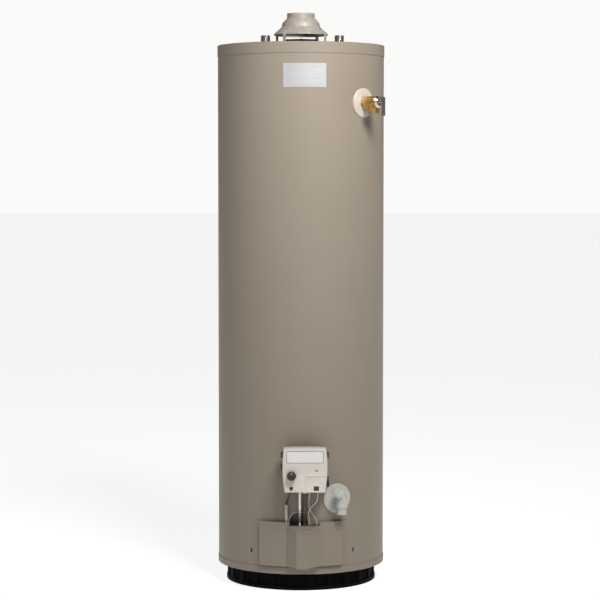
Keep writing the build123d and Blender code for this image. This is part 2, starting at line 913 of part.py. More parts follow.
def pin_bar(radius, length):
    """Bar on the lever's hinge axis."""
    axis = Plane(lever_pivot, x_dir=(0, 1, 0), z_dir=(1, 0, 0))
    return axis * rod(radius, -length / 2, length / 2)


def make_lever_pin():
    """Pin that the test lever turns on."""
    return wall_plane(relief_azimuth, relief_height) * pin_bar(lever_pin_radius, lever_width)


def make_relief_lever():
    """Test lever that hangs from the bonnet's lug."""
    inner_face = lever_pivot_out + bonnet_lug_width / 2 + lever_standoff
    top = lever_pivot_up + bonnet_lug_width / 2
    plate = Box(lever_width, lever_length, lever_sheet, align=(Align.CENTER, Align.MAX, Align.MIN))
    lever = Pos(0, top, inner_face) * plate
    cheek_gap = bonnet_lug_width / 2 + body_gap
    cheek_width = lever_width / 2 - cheek_gap
    cheek_depth = inner_face - lever_pivot_out + bonnet_lug_width / 2
    cheek = Box(cheek_width, bonnet_lug_width, cheek_depth, align=(Align.CENTER, Align.MAX, Align.MAX))
    for side in (-1, 1):
        lever += Pos(side * (cheek_gap + cheek_width / 2), top, inner_face) * cheek
    lever -= pin_bar(lever_pin_radius + bore_gap, 2 * lever_width)
    return wall_plane(relief_azimuth, relief_height) * lever


def make_relief_stem():
    """Poppet on its stem, drawn outwards by the lever."""
    poppet = rod(poppet_radius, relief_seat, relief_seat + poppet_thickness)
    return wall_plane(relief_azimuth, relief_height) * (poppet + rod(stem_radius, relief_seat, stem_end))


def make_relief_spring():
    """Spring that holds the poppet on its seat."""
    low = relief_seat + poppet_thickness + sheet_gap
    mean = (poppet_radius + stem_radius) / 2
    spring = coil(spring_wire / 2, mean, low, relief_barrel_end - sheet_gap, relief_spring_turns)
    return wall_plane(relief_azimuth, relief_height) * spring


def make_relief_probe():
    """Temperature element that reaches into the hot water."""
    head = rod(relief_seat_bore - bore_gap, shank_inner_end, shank_inner_end + pipe_radius)
    probe = head + rod(probe_radius, probe_inner_end, shank_inner_end)
    return wall_plane(relief_azimuth, relief_height) * probe


def drain_stem_plane():
    """Plane at the drain valve's centre with Z along its leaning stem."""
    return Plane((*drain_stem_start, drain_centre), x_dir=drain_stem_across, z_dir=drain_stem_lean)


def place_drain(shape):
    """Move a drain valve shape from its own frame to the tank's side."""
    return wall_plane(drain_azimuth, drain_height) * shape


def make_drain_body():
    """Moulded drain valve: nipple, leaning bonnet and hose outlet."""
    stem = drain_stem_plane()
    down = Plane((0, 0, drain_centre), x_dir=(1, 0, 0), z_dir=(0, -1, 0))
    hub = jacket_outer + escutcheon_dome + sheet_gap
    body = rod(pipe_radius, shank_inner_end, drain_centre)
    body += rod(drain_flange_radius, hub, hub + drain_flange)
    body += Pos(0, 0, drain_centre) * Sphere(drain_ball)
    body += down * rod(drain_ball, 0, drain_outlet_collar)
    body += down * rod(drain_outlet_radius, 0, drain_outlet_drop)
    body += stem * rod(drain_bonnet_radius, 0, drain_bonnet_end)
    body -= rod(drain_bore, shank_inner_end - cut_over, drain_centre)
    body -= down * rod(drain_outlet_bore, drain_outlet_radius, drain_outlet_drop + cut_over)
    body -= down * rod(drain_bore, 0, drain_outlet_drop)
    body -= stem * rod(drain_cavity_radius, -drain_washer_thickness, drain_cavity_end)
    body -= stem * rod(drain_stem_radius + bore_gap, 0, drain_bonnet_end + cut_over)
    return place_drain(body)


def make_drain_washer():
    """Stem and washer that close the drain."""
    washer = rod(drain_washer_radius, 0, drain_washer_thickness)
    stem = rod(drain_stem_radius, 0, drain_knob_start + drain_knob_thickness / 2)
    return place_drain(drain_stem_plane() * (washer + stem))


def make_drain_knob():
    """Round knob with a screwdriver slot."""
    top = drain_knob_start + drain_knob_thickness
    knob = rod(drain_knob_radius, drain_knob_start, top)
    knob = chamfer(knob.edges().group_by(Axis.Z)[-1], drain_knob_slot_depth)
    bore_end = drain_knob_start + drain_knob_thickness / 2 + bore_gap
    knob -= rod(drain_stem_radius + bore_gap, drain_knob_start - cut_over, bore_end)
    slot_align = (Align.CENTER, Align.CENTER, Align.MAX)
    slot = Box(2 * drain_knob_radius, drain_knob_slot, drain_knob_slot_depth, align=slot_align)
    knob -= Pos(0, 0, top) * slot
    return place_drain(drain_stem_plane() * knob)


def control_outline(inset, drop=0.0):
    """Front outline of the control's cover, taken in by an inset."""
    low, high = control_bottom + inset - drop, control_bottom + control_height - inset - cover_crown
    middle = (low + high) / 2
    top_half = cover_half_width_top - inset
    mid_half = cover_half_width_mid - inset
    low_half = cover_half_width_bottom - inset
    outline = [
        ThreePointArc((-top_half, high), (0, high + cover_crown), (top_half, high)),
        ThreePointArc((top_half, high), (mid_half, middle), (low_half, low)),
        Line((low_half, low), (-low_half, low)),
        ThreePointArc((-low_half, low), (-mid_half, middle), (-top_half, high)),
    ]
    return make_face(outline)


def from_axis(start, end, sketch, x=0.0, height=0.0):
    """Extrude a front-facing sketch between two distances from the tank's axis."""
    return front_plane(x, height) * (Pos(0, 0, start) * extrude(sketch, end - start))


def inlet_plane():
    """Plane on the gas inlet's axis, with Z out of the control's right side."""
    return Plane((front_offset, -inlet_depth, inlet_height), x_dir=(0, 1, 0), z_dir=(1, 0, 0))


def make_control_cover():
    """Moulded cover with its label window, knob and button holes."""
    back = control_front - cover_depth
    cover = from_axis(back, control_front, control_outline(0), x=front_offset)
    cover = fillet(cover.faces().sort_by(Axis.Y)[0].edges(), cover_edge)
    hollow = control_outline(cover_wall, drop=2 * cover_edge)
    cover -= from_axis(back - cut_over, control_front - cover_wall, hollow, x=front_offset)
    half = 2 * cover_half_width_mid
    step = Pos(cover_step_start, 0) * Rectangle(half, cover_step_up, align=(Align.MIN, Align.MIN))
    proud = control_front + cut_over
    cover -= from_axis(control_front - cover_step, proud, step, x=front_offset, height=control_bottom)
    window = RectangleRounded(*window_size, window_corner)
    cover -= from_axis(control_front - window_recess, proud, window, front_offset, window_up)
    through = (control_front - 2 * cover_wall, proud)
    cover -= from_axis(*through, Circle(knob_flange_radius + hole_gap), knob_x, knob_up)
    cover -= from_axis(*through, Circle(button_radius + body_gap), button_x, button_up)
    lens_slot = SlotOverall(lens_size[0] + sheet_gap, lens_size[1] + sheet_gap)
    cover -= from_axis(*through, lens_slot, lens_x, lens_up)
    port = Rectangle(plug_size[0] + sheet_gap, plug_size[1] + sheet_gap)
    cover -= from_axis(*through, port, plug_x, plug_up)
    return cover - inlet_plane() * rod(inlet_boss_radius + body_gap, 0, inlet_boss_end + 2 * cover_wall)


def make_control_label():
    """Blank plate in the cover's window."""
    width, height = (side - 2 * window_groove for side in window_size)
    plate = RectangleRounded(width, height, window_corner)
    start = control_front - window_recess + bore_gap
    return from_axis(start, start + window_plate, plate, front_offset, window_up)


def make_control_casting():
    """Die-cast valve body with its shank, lugs and gas inlet boss."""
    height = casting_top - casting_bottom
    block = Rectangle(2 * casting_half_width, height, align=(Align.CENTER, Align.MIN))
    casting = from_axis(casting_back, casting_front, block, x=front_offset, height=casting_bottom)
    casting += control_bar(control_boss_radius, control_boss_end, casting_back)
    casting += control_bar(pipe_radius, shank_inner_end, control_boss_end)
    lug_back = control_front - cover_depth - lug_depth / 2 - hole_gap
    lug = Box(lug_reach, lug_depth, lug_tall, align=(Align.MIN, Align.CENTER, Align.CENTER))
    for lug_height in left_lug_heights:
        casting += Pos(front_offset, -lug_back, lug_height) * Rot(0, 0, 180) * lug
    casting += Pos(front_offset, -lug_back, right_lug_height) * lug
    inlet = inlet_plane()
    casting += inlet * rod(inlet_boss_radius, 0, inlet_boss_end)
    thread_start = inlet_boss_end - inlet_thread_depth
    casting -= inlet * rod(inlet_thread_radius, thread_start, inlet_boss_end + cut_over)
    casting -= control_bar(relief_seat_bore, shank_inner_end - cut_over, control_boss_end)
    knob_hole = Circle(knob_shaft_radius + bore_gap)
    casting -= from_axis(knob_bore_end, casting_front + cut_over, knob_hole, knob_x, knob_up)
    button_hole = Circle(button_stem_radius + bore_gap)
    casting -= from_axis(button_bore_end, casting_front + cut_over, button_hole, button_x, button_up)
    return casting


def make_control_probe():
    """Thermostat's temperature probe, held in the shank."""
    head = rod(relief_seat_bore - bore_gap, shank_inner_end, shank_inner_end + pipe_radius)
    probe = head + rod(probe_radius, probe_inner_end, shank_inner_end)
    return front_plane(front_offset, control_axis_up) * probe


def make_knob_shaft():
    """Shaft that the knob pushes in against its spring."""
    shaft = rod(knob_shaft_radius, knob_shaft_back, knob_shaft_front)
    flange = rod(knob_flange_radius, knob_flange_front - knob_flange, knob_flange_front)
    return front_plane(knob_x, knob_up) * (shaft + flange)


def make_knob():
    """Temperature and pilot knob."""
    knob = rod(knob_radius, knob_back, knob_front)
    knob = fillet(knob.edges().group_by(Axis.Z)[-1], cover_wall)
    knob -= rod(knob_shaft_radius + bore_gap, knob_back - cut_over, knob_shaft_front + bore_gap)
    return front_plane(knob_x, knob_up) * knob


def make_knob_spring():
    """Spring behind the knob's flange."""
    low, high = casting_front + bore_gap, knob_flange_front - knob_flange - bore_gap
    spring = coil(knob_spring_wire / 2, knob_spring_radius, low, high, knob_spring_turns)
    return front_plane(knob_x, knob_up) * spring


def make_button():
    """Push button of the spark igniter."""
    button = rod(button_radius, button_back, button_front)
    button += rod(button_stem_radius, button_stem_back, button_back)
    button = fillet(button.edges().group_by(Axis.Z)[-1], cover_wall / 2)
    return front_plane(button_x, button_up) * button


def make_button_spring():
    """Spring behind the igniter's button."""
    low, high = casting_front + bore_gap, button_back - bore_gap
    spring = coil(button_spring_wire / 2, button_spring_radius, low, high, button_spring_turns)
    return front_plane(button_x, button_up) * spring


def make_status_lens():
    """Clear bar over the status light."""
    lens = SlotOverall(*lens_size)
    return from_axis(control_front - lens_depth, control_front + sheet_gap, lens, lens_x, lens_up)


def make_thermopile_plug():
    """Black plug of the thermopile's two wires."""
    plug = Rectangle(*plug_size)
    return from_axis(casting_front, plug_front, plug, plug_x, plug_up)


def make_tube_nuts():
    """Flare nuts under the control."""
    nuts = []
    for route, radius, size in (
        (manifold_route, manifold_radius, manifold_nut),
        (pilot_route, pilot_radius, pilot_nut),
    ):
        x, y, top = route[0]
        bore = rod(radius + bore_gap, top - 2 * size[1], top + cut_over)
        nuts.append(Pos(x, y, 0) * (hexagon(size[0], top - size[1], top) - bore))
    return Compound(nuts)


def make_igniter_boot():
    """White sleeve over the igniter's connector."""
    boot = rod(boot_radius, boot_bottom, boot_top)
    boot = Pos(*boot_place, 0) * chamfer(boot.edges(), boot_chamfer)
    for route in (igniter_route, electrode_route):
        boot -= piped(route, lead_radius + bore_gap, bend_radii(route))
    return boot


def make_notch_trim():
    """Edge moulding pressed onto the arched notch."""
    inner, outer = jacket_inner - trim_depth, jacket_outer + trim_depth
    within, beyond = inner - cut_over, outer + cut_over
    band = notch_bar(notch_radius + trim_width, inner, outer)
    band -= notch_bar(notch_radius - trim_width, within, beyond)
    band &= ring(outer, inner, 0, cover_top)
    edge = notch_bar(notch_radius + 2 * trim_width, within, beyond)
    edge -= notch_bar(notch_radius, within - cut_over, beyond + cut_over)
    edge &= ring(jacket_outer + bore_gap, jacket_inner - bore_gap, 0, cover_top)
    return band - edge


def door_passages():
    """Clearance bars for the tubes and wires that pass through the inner door."""
    bars = [
        piped(manifold_route, manifold_radius + hole_gap, manifold_bend),
        piped(pilot_route, pilot_radius + hole_gap, pilot_bend),
        piped(electrode_route, lead_radius + hole_gap, bend_radii(electrode_route)),
    ]
    for route in (thermo_route_right, thermo_route_left):
        bars.append(piped(route, thermo_radius + hole_gap, bend_radii(route)))
    return bars


def inner_door_screw_bars(radius):
    """Bars on the inner door's screw axes."""
    azimuth = chamber_half_angle + inner_door_border / 4
    low, high = chamber_bottom - inner_door_border / 2, chamber_top + inner_door_border / 2
    places = [(side * azimuth, height) for side in (-1, 1) for height in (low, high)]
    start = tank_outer - screw_length / 2
    end = tank_outer + screw_length
    return [side_bar(place, height, radius, start, end) for place, height in places]


def make_inner_door():
    """Steel door that seals the burner's chamber."""
    half = chamber_half_angle + inner_door_border / 2
    inner = tank_outer + gasket_thickness + 2 * sheet_gap
    low, high = chamber_bottom - inner_door_border, chamber_top + inner_door_border
    door = sector(inner, inner + inner_door_sheet, -half, half, low, high)
    for bar in door_passages() + inner_door_screw_bars(screw_radius + bore_gap):
        door -= bar
    door -= side_bar(glass_azimuth, glass_up, glass_radius - glass_lap, tank_inner, jacket_outer)
    return door


def make_door_gasket():
    """Fibre gasket behind the inner door."""
    half = chamber_half_angle + inner_door_border / 2
    inner = tank_outer + sheet_gap
    outer = inner + gasket_thickness
    low, high = chamber_bottom - inner_door_border, chamber_top + inner_door_border
    gasket = sector(inner, outer, -half, half, low, high)
    within, beyond = inner - cut_over, outer + cut_over
    gasket -= sector(within, beyond, -chamber_half_angle, chamber_half_angle, chamber_bottom, chamber_top)
    for bar in inner_door_screw_bars(screw_radius + bore_gap):
        gasket -= bar
    return gasket


def make_screw(azimuth, height, seat):
    """Pan-head screw driven into the tank's side at a seat radius."""
    shank = rod(screw_radius, seat - screw_length, seat)
    crown = seat + screw_head_height
    head = turned((0, seat), (screw_head, seat), (screw_radius, crown), (0, crown))
    return wall_plane(azimuth, height) * (shank + head)


def make_door_screws():
    """Four screws around the inner door."""
    azimuth = chamber_half_angle + inner_door_border / 4
    low, high = chamber_bottom - inner_door_border / 2, chamber_top + inner_door_border / 2
    seat = tank_outer + gasket_thickness + inner_door_sheet + 3 * sheet_gap
    places = [(side * azimuth, height) for side in (-1, 1) for height in (low, high)]
    return Compound([make_screw(place, height, seat) for place, height in places])


def make_sight_glass():
    """Round glass for looking at the flame."""
    start = tank_outer + gasket_thickness + inner_door_sheet + 3 * sheet_gap
    return side_bar(glass_azimuth, glass_up, glass_radius, start, start + glass_thickness)


def make_burner():
    """Round pressed-steel burner with ports around its rim."""
    middle = (burner_low + burner_high) / 2
    shoulder = burner_radius - burner_shoulder
    outside = [
        (burner_throat, burner_low - burner_neck),
        (burner_throat, burner_low),
        (shoulder, burner_low + burner_low_rise),
        (burner_radius, middle),
        (shoulder, burner_high - burner_top_drop),
        (0, burner_high),
    ]
    inside = [
        (0, burner_high - burner_sheet),
        (shoulder - burner_sheet, burner_high - burner_top_drop - burner_sheet),
        (burner_radius - burner_sheet, middle),
        (shoulder - burner_sheet, burner_low + burner_low_rise + burner_sheet),
        (burner_throat - burner_sheet, burner_low + burner_sheet),
        (burner_throat - burner_sheet, burner_low - burner_neck),
    ]
    burner = turned(*outside, *inside)
    port = Box(3 * port_size, port_size / 2, port_size)
    port = Pos(burner_radius - port_inset, 0, middle + port_inset) * port
    burner -= [Rot(0, 0, index * 360 / port_count) * port for index in range(port_count)]
    bridge_align = (Align.CENTER, Align.CENTER, Align.MIN)
    bridge = Box(2 * burner_throat - burner_sheet, bridge_width, burner_sheet, align=bridge_align)
    bridge_low = manifold_route[-1][2] + orifice_hex_height
    seat = rod(orifice_neck + bore_gap, bridge_low - cut_over, bridge_low + 2 * burner_sheet)
    return burner + (Pos(0, 0, bridge_low) * bridge - seat)


def make_orifice():
    """Brass jet on the end of the gas tube."""
    seat = manifold_route[-1][2]
    jet_top = seat + orifice_hex_height + orifice_neck_height
    orifice = hexagon(orifice_hex, seat, seat + orifice_hex_height) + rod(orifice_neck, seat, jet_top)
    return orifice - rod(orifice_jet, seat - cut_over, jet_top + cut_over)


def make_pilot():
    """Pilot head, spark electrode and thermopile on one bracket."""
    x, y = pilot_place
    left, right = electrode_x - electrode_margin, thermopile_x + thermopile_radius
    pilot = Pos(x, y, 0) * rod(pilot_head_radius, *pilot_span)
    pilot += Pos(thermopile_x, y, 0) * rod(thermopile_radius, *pilot_span)
    pilot += Pos(electrode_x, y, 0) * rod(electrode_radius, *electrode_span)
    plate_align = (Align.MIN, Align.CENTER, Align.MIN)
    plate = Box(right - left, 2 * pilot_head_radius, pilot_plate, align=plate_align)
    return pilot + Pos(left, y, pilot_plate_up) * plate


def door_bulge(inset):
    """Filled shape of the bulge over the tubes, taken in by an inset. It is open at its foot."""
    base = jacket_outer + door_proud / 3
    flat, foot = bulge_flat_half - inset, bulge_base_half - inset
    front_face = bulge_front - inset
    low, high = door_bottom - inset, bulge_high - inset
    plan = [(-foot, -base), (-flat, -front_face), (flat, -front_face), (foot, -base)]
    bulge = Pos(bulge_middle, 0, low) * extrude(make_face(Polyline(*plan, close=True)), high - low)
    side = [
        (-base, low),
        (-front_face, low),
        (-front_face, high - bulge_slope),
        (-jacket_outer - door_proud, high),
        (-base, high),
    ]
    bevel = Plane.YZ * make_face(Polyline(*side, close=True))
    return bulge & extrude(bevel, 2 * bulge_base_half, both=True)


def door_block(inset):
    """Filled shape of the outer door's raised panel and bulge, taken in by an inset."""
    outer = jacket_outer + door_proud - inset
    half = door_half_angle - inset / outer * 180 / pi
    panel = sector(jacket_outer + body_gap, outer, -half, half, door_bottom - inset, door_top - inset)
    return panel + door_bulge(inset)


def make_outer_door():
    """Pull-off door: raised panel, bulge over the tubes, side flanges and a tab below the bulge."""
    inner, outer = jacket_outer + body_gap, jacket_outer + door_proud
    inside = outer - door_sheet
    tab_align = (Align.CENTER, Align.MIN, Align.MIN)
    tab = Box(2 * tab_half_width, door_sheet, tab_height, align=tab_align)
    low, high = bead_span
    band = ring(bulge_front + bulge_base_half, outer, low, high)
    bead = door_bulge(-bead_proud) & band
    door = door_block(0) + bead - door_block(door_sheet)
    door += Pos(bulge_middle, -bulge_front, tab_bottom) * tab
    within, beyond = inner - cut_over, door_top + cut_over
    door -= sector(within, inside, *tube_gap_angles, door_top - 2 * door_sheet, beyond)
    door -= sector(within, outer + cut_over, *front_gap_angles, front_gap_low, beyond)
    root = door_half_angle - door_sheet / outer * 90 / pi
    for start, end in ((-door_flange_angle, -root), (root, door_flange_angle)):
        door += sector(inner, inner + door_sheet, start, end, door_bottom, door_top)
    return door


save("base_ring", make_base_ring())
save("intake_screen", make_intake_screen())
save("base_pan", make_base_pan())
save("flame_arrestor", make_flame_arrestor())
save("tank_shell", make_tank_shell())
save("top_head", dished_head(tank_top, head_radius, top_holes(bore_gap, bore_gap)))
save("bottom_head", dished_head(bottom_head_rim, head_radius, [(0, 0, flue_radius + bore_gap)]))
save("flue_tube", ring(flue_radius, flue_radius - flue_wall, flue_bottom, flue_top))
save("flue_baffle", make_baffle())
save("anode_rod", make_anode())
save("anode_cap", make_anode_cap())
save("cold_nipple", make_nipple(nipple_places[0]))
save("hot_nipple", make_nipple(nipple_places[1]))
save("dip_tube", make_dip_tube())
save("jacket", make_jacket())
save("insulation", make_insulation())
save("top_cover", make_top_cover())
save("draft_hood", make_draft_hood())
save("hood_legs", make_hood_legs())
save("hood_rivets", make_rivets())
save("label_plate", make_label_plate())
save("relief_escutcheon", make_escutcheon(relief_azimuth, relief_height))
save("relief_body", make_relief_body())
save("relief_bonnet", make_relief_bonnet())
save("relief_lever", make_relief_lever())
save("relief_lever_pin", make_lever_pin())
save("relief_stem", make_relief_stem())
save("relief_spring", make_relief_spring())
save("relief_probe", make_relief_probe())
save("drain_escutcheon", make_escutcheon(drain_azimuth, drain_height))
save("drain_body", make_drain_body())
save("drain_stem", make_drain_washer())
save("drain_knob", make_drain_knob())
save("control_casting", make_control_casting())
save("control_cover", make_control_cover())
save("control_label", make_control_label())
save("control_probe", make_control_probe())
save("knob_shaft", make_knob_shaft())
save("control_knob", make_knob())
save("knob_spring", make_knob_spring())
save("igniter_button", make_button())
save("button_spring", make_button_spring())
save("status_lens", make_status_lens())
save("thermopile_plug", make_thermopile_plug())
save("gas_tube", piped(manifold_route, manifold_radius, manifold_bend))
save("pilot_tube", piped(pilot_route, pilot_radius, pilot_bend))
save("tube_nuts", make_tube_nuts())
save("igniter_lead", wire("igniter_lead", igniter_route, lead_radius))
save("electrode_lead", wire("electrode_lead", electrode_route, lead_radius))
save("igniter_boot", make_igniter_boot())
thermo_wires = [
    wire("thermopile wire, right", thermo_route_right, thermo_radius),
    wire("thermopile wire, left", thermo_route_left, thermo_radius),
]
save("thermopile_wires", Compound(thermo_wires))
save("notch_trim", make_notch_trim())
save("inner_door", make_inner_door())
save("door_gasket", make_door_gasket())
save("door_screws", make_door_screws())
save("sight_glass", make_sight_glass())
save("burner", make_burner())
save("burner_orifice", make_orifice())
save("pilot_burner", make_pilot())
save("outer_door", make_outer_door())
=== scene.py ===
"""A tall gas tank water heater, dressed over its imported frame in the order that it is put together."""

from math import cos, pi, radians, sin

import bmesh
import bpy
from mathutils import Matrix, Vector


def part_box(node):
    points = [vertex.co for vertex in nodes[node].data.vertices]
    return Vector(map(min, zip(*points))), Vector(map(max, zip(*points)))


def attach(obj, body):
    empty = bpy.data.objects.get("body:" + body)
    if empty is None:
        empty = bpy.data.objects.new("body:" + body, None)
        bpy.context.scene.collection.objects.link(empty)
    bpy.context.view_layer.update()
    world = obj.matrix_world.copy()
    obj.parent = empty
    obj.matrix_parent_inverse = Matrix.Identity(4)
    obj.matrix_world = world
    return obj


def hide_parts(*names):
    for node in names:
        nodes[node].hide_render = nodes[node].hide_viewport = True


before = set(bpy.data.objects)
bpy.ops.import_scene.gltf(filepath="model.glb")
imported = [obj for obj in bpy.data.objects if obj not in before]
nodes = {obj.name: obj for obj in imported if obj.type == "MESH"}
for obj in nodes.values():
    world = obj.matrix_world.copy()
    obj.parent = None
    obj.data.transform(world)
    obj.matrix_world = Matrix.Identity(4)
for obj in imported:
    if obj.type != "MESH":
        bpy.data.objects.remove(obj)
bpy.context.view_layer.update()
mm = 0.001

# ---------------------------------------------------------------- base ring
# The ring that the heater stands on. Moulded in black plastic with a fine leather grain, with air
# windows all round, and pushed up under the steel pan.


def new_group(name, inputs, outputs):
    """An empty shader node group with these named sockets, and its input and output nodes."""
    group = bpy.data.node_groups.new(name, "ShaderNodeTree")
    for label, kind, value in inputs:
        socket = group.interface.new_socket(label, in_out="INPUT", socket_type="NodeSocket" + kind)
        socket.default_value = value
    for label, kind in outputs:
        group.interface.new_socket(label, in_out="OUTPUT", socket_type="NodeSocket" + kind)
    return group, group.nodes.new("NodeGroupInput").outputs, group.nodes.new("NodeGroupOutput").inputs


def node(tree, kind, values=(), **settings):
    """A new node with its settings, and with its named or numbered inputs set."""
    made = tree.nodes.new("ShaderNode" + kind)
    for key, value in settings.items():
        setattr(made, key, value)
    for key, value in dict(values).items():
        made.inputs[key].default_value = value
    return made


def maths(tree, operation, first, second):
    """One sum on two values, each a socket or a number."""
    made = node(tree, "Math", operation=operation)
    for place, value in enumerate((first, second)):
        if isinstance(value, (int, float)):
            made.inputs[place].default_value = value
        else:
            tree.links.new(value, made.inputs[place])
    return made.outputs[0]


def noise(tree, vector, scale, detail):
    """Cloudy noise on a vector, at a scale that is a number or a socket."""
    made = node(tree, "TexNoise", {"Detail": detail})
    tree.links.new(vector, made.inputs["Vector"])
    if isinstance(scale, (int, float)):
        made.inputs["Scale"].default_value = scale
    else:
        tree.links.new(scale, made.inputs["Scale"])
    return made.outputs["Fac"]


def make_mottle():
    """Broad patches with fine specks over them, as on any moulded, cast or painted surface."""
    group, given, out = new_group(
        "mottle",
        [("Patches", "Float", 20), ("Specks", "Float", 1000), ("Share", "Float", 0.3),
         ("Stretch", "Vector", (1, 1, 1))],
        [("Tone", "Float"), ("Height", "Float")])
    place = node(group, "TexCoord").outputs["Object"]
    pulled = node(group, "VectorMath", operation="MULTIPLY")
    group.links.new(place, pulled.inputs[0])
    group.links.new(given["Stretch"], pulled.inputs[1])
    patches = noise(group, pulled.outputs[0], given["Patches"], 4)
    specks = noise(group, pulled.outputs[0], given["Specks"], 3)
    mixed = node(group, "Mix", data_type="FLOAT")
    group.links.new(given["Share"], mixed.inputs[0])
    group.links.new(patches, mixed.inputs[2])
    group.links.new(specks, mixed.inputs[3])
    wide = node(group, "MapRange", {"From Min": 0.3, "From Max": 0.7})
    group.links.new(mixed.outputs[0], wide.inputs["Value"])
    group.links.new(wide.outputs[0], out["Tone"])
    group.links.new(specks, out["Height"])
    return group


def make_wear_and_edge_highlight():
    """Where edges are rubbed bright, partly real wear and partly a painted highlight on every sharp edge, and
    where dust has settled on what faces up.
    """
    group, given, out = new_group(
        "wear_and_edge_highlight", [("Rub Highlight", "Float", 0.5), ("Dust", "Float", 0.2)], [("Edge", "Float"), ("Dust", "Float")])
    shape = node(group, "NewGeometry")
    place = node(group, "TexCoord").outputs["Object"]
    patchy = noise(group, place, 60, 4)
    # Sharp edges, found by pointiness, take the rubbed colour: partly real rubbing, partly a painted
    # highlight.
    edge = node(group, "MapRange", {"From Min": 0.52, "From Max": 0.62})
    group.links.new(shape.outputs["Pointiness"], edge.inputs["Value"])
    broken = maths(group, "MULTIPLY", edge.outputs[0], patchy)
    group.links.new(maths(group, "MULTIPLY", broken, given["Rub Highlight"]), out["Edge"])
    split = node(group, "SeparateXYZ")
    group.links.new(shape.outputs["Normal"], split.inputs[0])
    upward = node(group, "MapRange", {"From Min": 0.5, "From Max": 1})
    group.links.new(split.outputs["Z"], upward.inputs["Value"])
    settled = maths(group, "MULTIPLY", upward.outputs[0], patchy)
    group.links.new(maths(group, "MULTIPLY", settled, given["Dust"]), out["Dust"])
    return group


mottle, wear_and_edge_highlight = make_mottle(), make_wear_and_edge_highlight()
dust_colour = (0.46, 0.43, 0.38, 1)


def colour_mix(tree, share, first, second):
    """Two colours mixed by a socket. Each colour is a socket or three numbers."""
    made = node(tree, "Mix", data_type="RGBA")
    tree.links.new(share, made.inputs[0])
    for place, value in ((6, first), (7, second)):
        if isinstance(value, tuple):
            made.inputs[place].default_value = (*value[:3], 1)
        else:
            tree.links.new(value, made.inputs[place])
    return made.outputs[2]


def finish_of(name, light, dark, rough, metal=0.0, patches=25, specks=1200, share=0.35, stretch=(1, 1, 1),
              depth=0.05, bump=0.3, rubbed_edge_highlight=None, edge_highlight_rub=0.6, dust=0.25, **sockets):
    """A surface that drifts between two tones and two roughnesses, with its grain raised by depth in mm.
    Returns the material, its tree and its shader, so that a finish can add to it."""
    material = bpy.data.materials.new(name)
    material.use_nodes = True
    tree = material.node_tree
    shader = tree.nodes["Principled BSDF"]
    shader.inputs["Metallic"].default_value = metal
    for key, value in sockets.items():
        shader.inputs[key.replace("_", " ")].default_value = value
    surface = node(tree, "Group", node_tree=mottle)
    for key, value in (("Patches", patches), ("Specks", specks), ("Share", share), ("Stretch", stretch)):
        surface.inputs[key].default_value = value
    worn = node(tree, "Group", node_tree=wear_and_edge_highlight)
    worn.inputs["Rub Highlight"].default_value = edge_highlight_rub
    worn.inputs["Dust"].default_value = dust
    colour = colour_mix(tree, surface.outputs["Tone"], dark, light)
    # Edges go towards a brighter colour: partly rubbed wear, partly a painted highlight on every sharp edge.
    edge_highlight_colour = rubbed_edge_highlight or tuple(min(1.0, c * 1.25) for c in light)
    colour = colour_mix(tree, worn.outputs["Edge"], colour, edge_highlight_colour)
    colour = colour_mix(tree, worn.outputs["Dust"], colour, dust_colour)
    tree.links.new(colour, shader.inputs["Base Color"])
    rougher = node(tree, "MapRange", {"To Min": rough[0], "To Max": rough[1]})
    tree.links.new(surface.outputs["Tone"], rougher.inputs["Value"])
    tree.links.new(rougher.outputs[0], shader.inputs["Roughness"])
    raised = node(tree, "Bump", {"Strength": bump, "Distance": depth * mm})
    tree.links.new(surface.outputs["Height"], raised.inputs["Height"])
    tree.links.new(raised.outputs[0], shader.inputs["Normal"])
    return material, tree, shader


def dress(name, material):
    """A CAD node that keeps its own shape takes this material."""
    nodes[name].data.materials.clear()
    nodes[name].data.materials.append(material)


def put_in(mesh, body, material, slot, *stands_for):
    """A finished mesh becomes a piece that rides on a body and stands for CAD nodes."""
    piece = bpy.data.objects.new(mesh.name, mesh)
    bpy.context.scene.collection.objects.link(piece)
    mesh.materials.clear()
    mesh.materials.append(material)
    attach(piece, body)
    if stands_for:
        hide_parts(*stands_for)
    return piece


def eased(name, new_name, width, body, material, slot, angle=32, segments=2):
    """A node's own shape with its flats made whole and its sharp edges rounded to width in mm."""
    source = nodes[name].data
    form = bmesh.new()
    form.from_mesh(source)
    bmesh.ops.remove_doubles(form, verts=form.verts, dist=0.002 * mm)
    bmesh.ops.dissolve_limit(form, angle_limit=radians(0.4), verts=form.verts, edges=form.edges)
    form.verts.ensure_lookup_table()
    points = [tuple(v.co) for v in form.verts]
    faces = [[v.index for v in f.verts] for f in form.faces]
    form.free()
    mesh = bpy.data.meshes.new(new_name)
    mesh.from_pydata(points, [], faces)
    mesh.shade_smooth()
    mesh.set_sharp_from_angle(angle=radians(angle))
    piece = put_in(mesh, body, material, slot, name)
    round_off = piece.modifiers.new("rounded_edges", "BEVEL")
    round_off.width = width * mm
    round_off.segments = segments
    round_off.limit_method = "ANGLE"
    round_off.angle_limit = radians(angle)
    round_off.use_clamp_overlap = True
    round_off.harden_normals = True
    return piece


ring_black = finish_of("ring_black", (0.005, 0.005, 0.0045), (0.002, 0.002, 0.002), (0.5, 0.62), patches=30,
                       specks=1400, share=0.6, depth=0.15, bump=0.5, rubbed_edge_highlight=(0.02, 0.02, 0.02), dust=0.0,
                       Specular_IOR_Level=0.03)[0]
eased("base_ring", "base_ring_moulded", 0.6, "heater", ring_black, "ring_black")
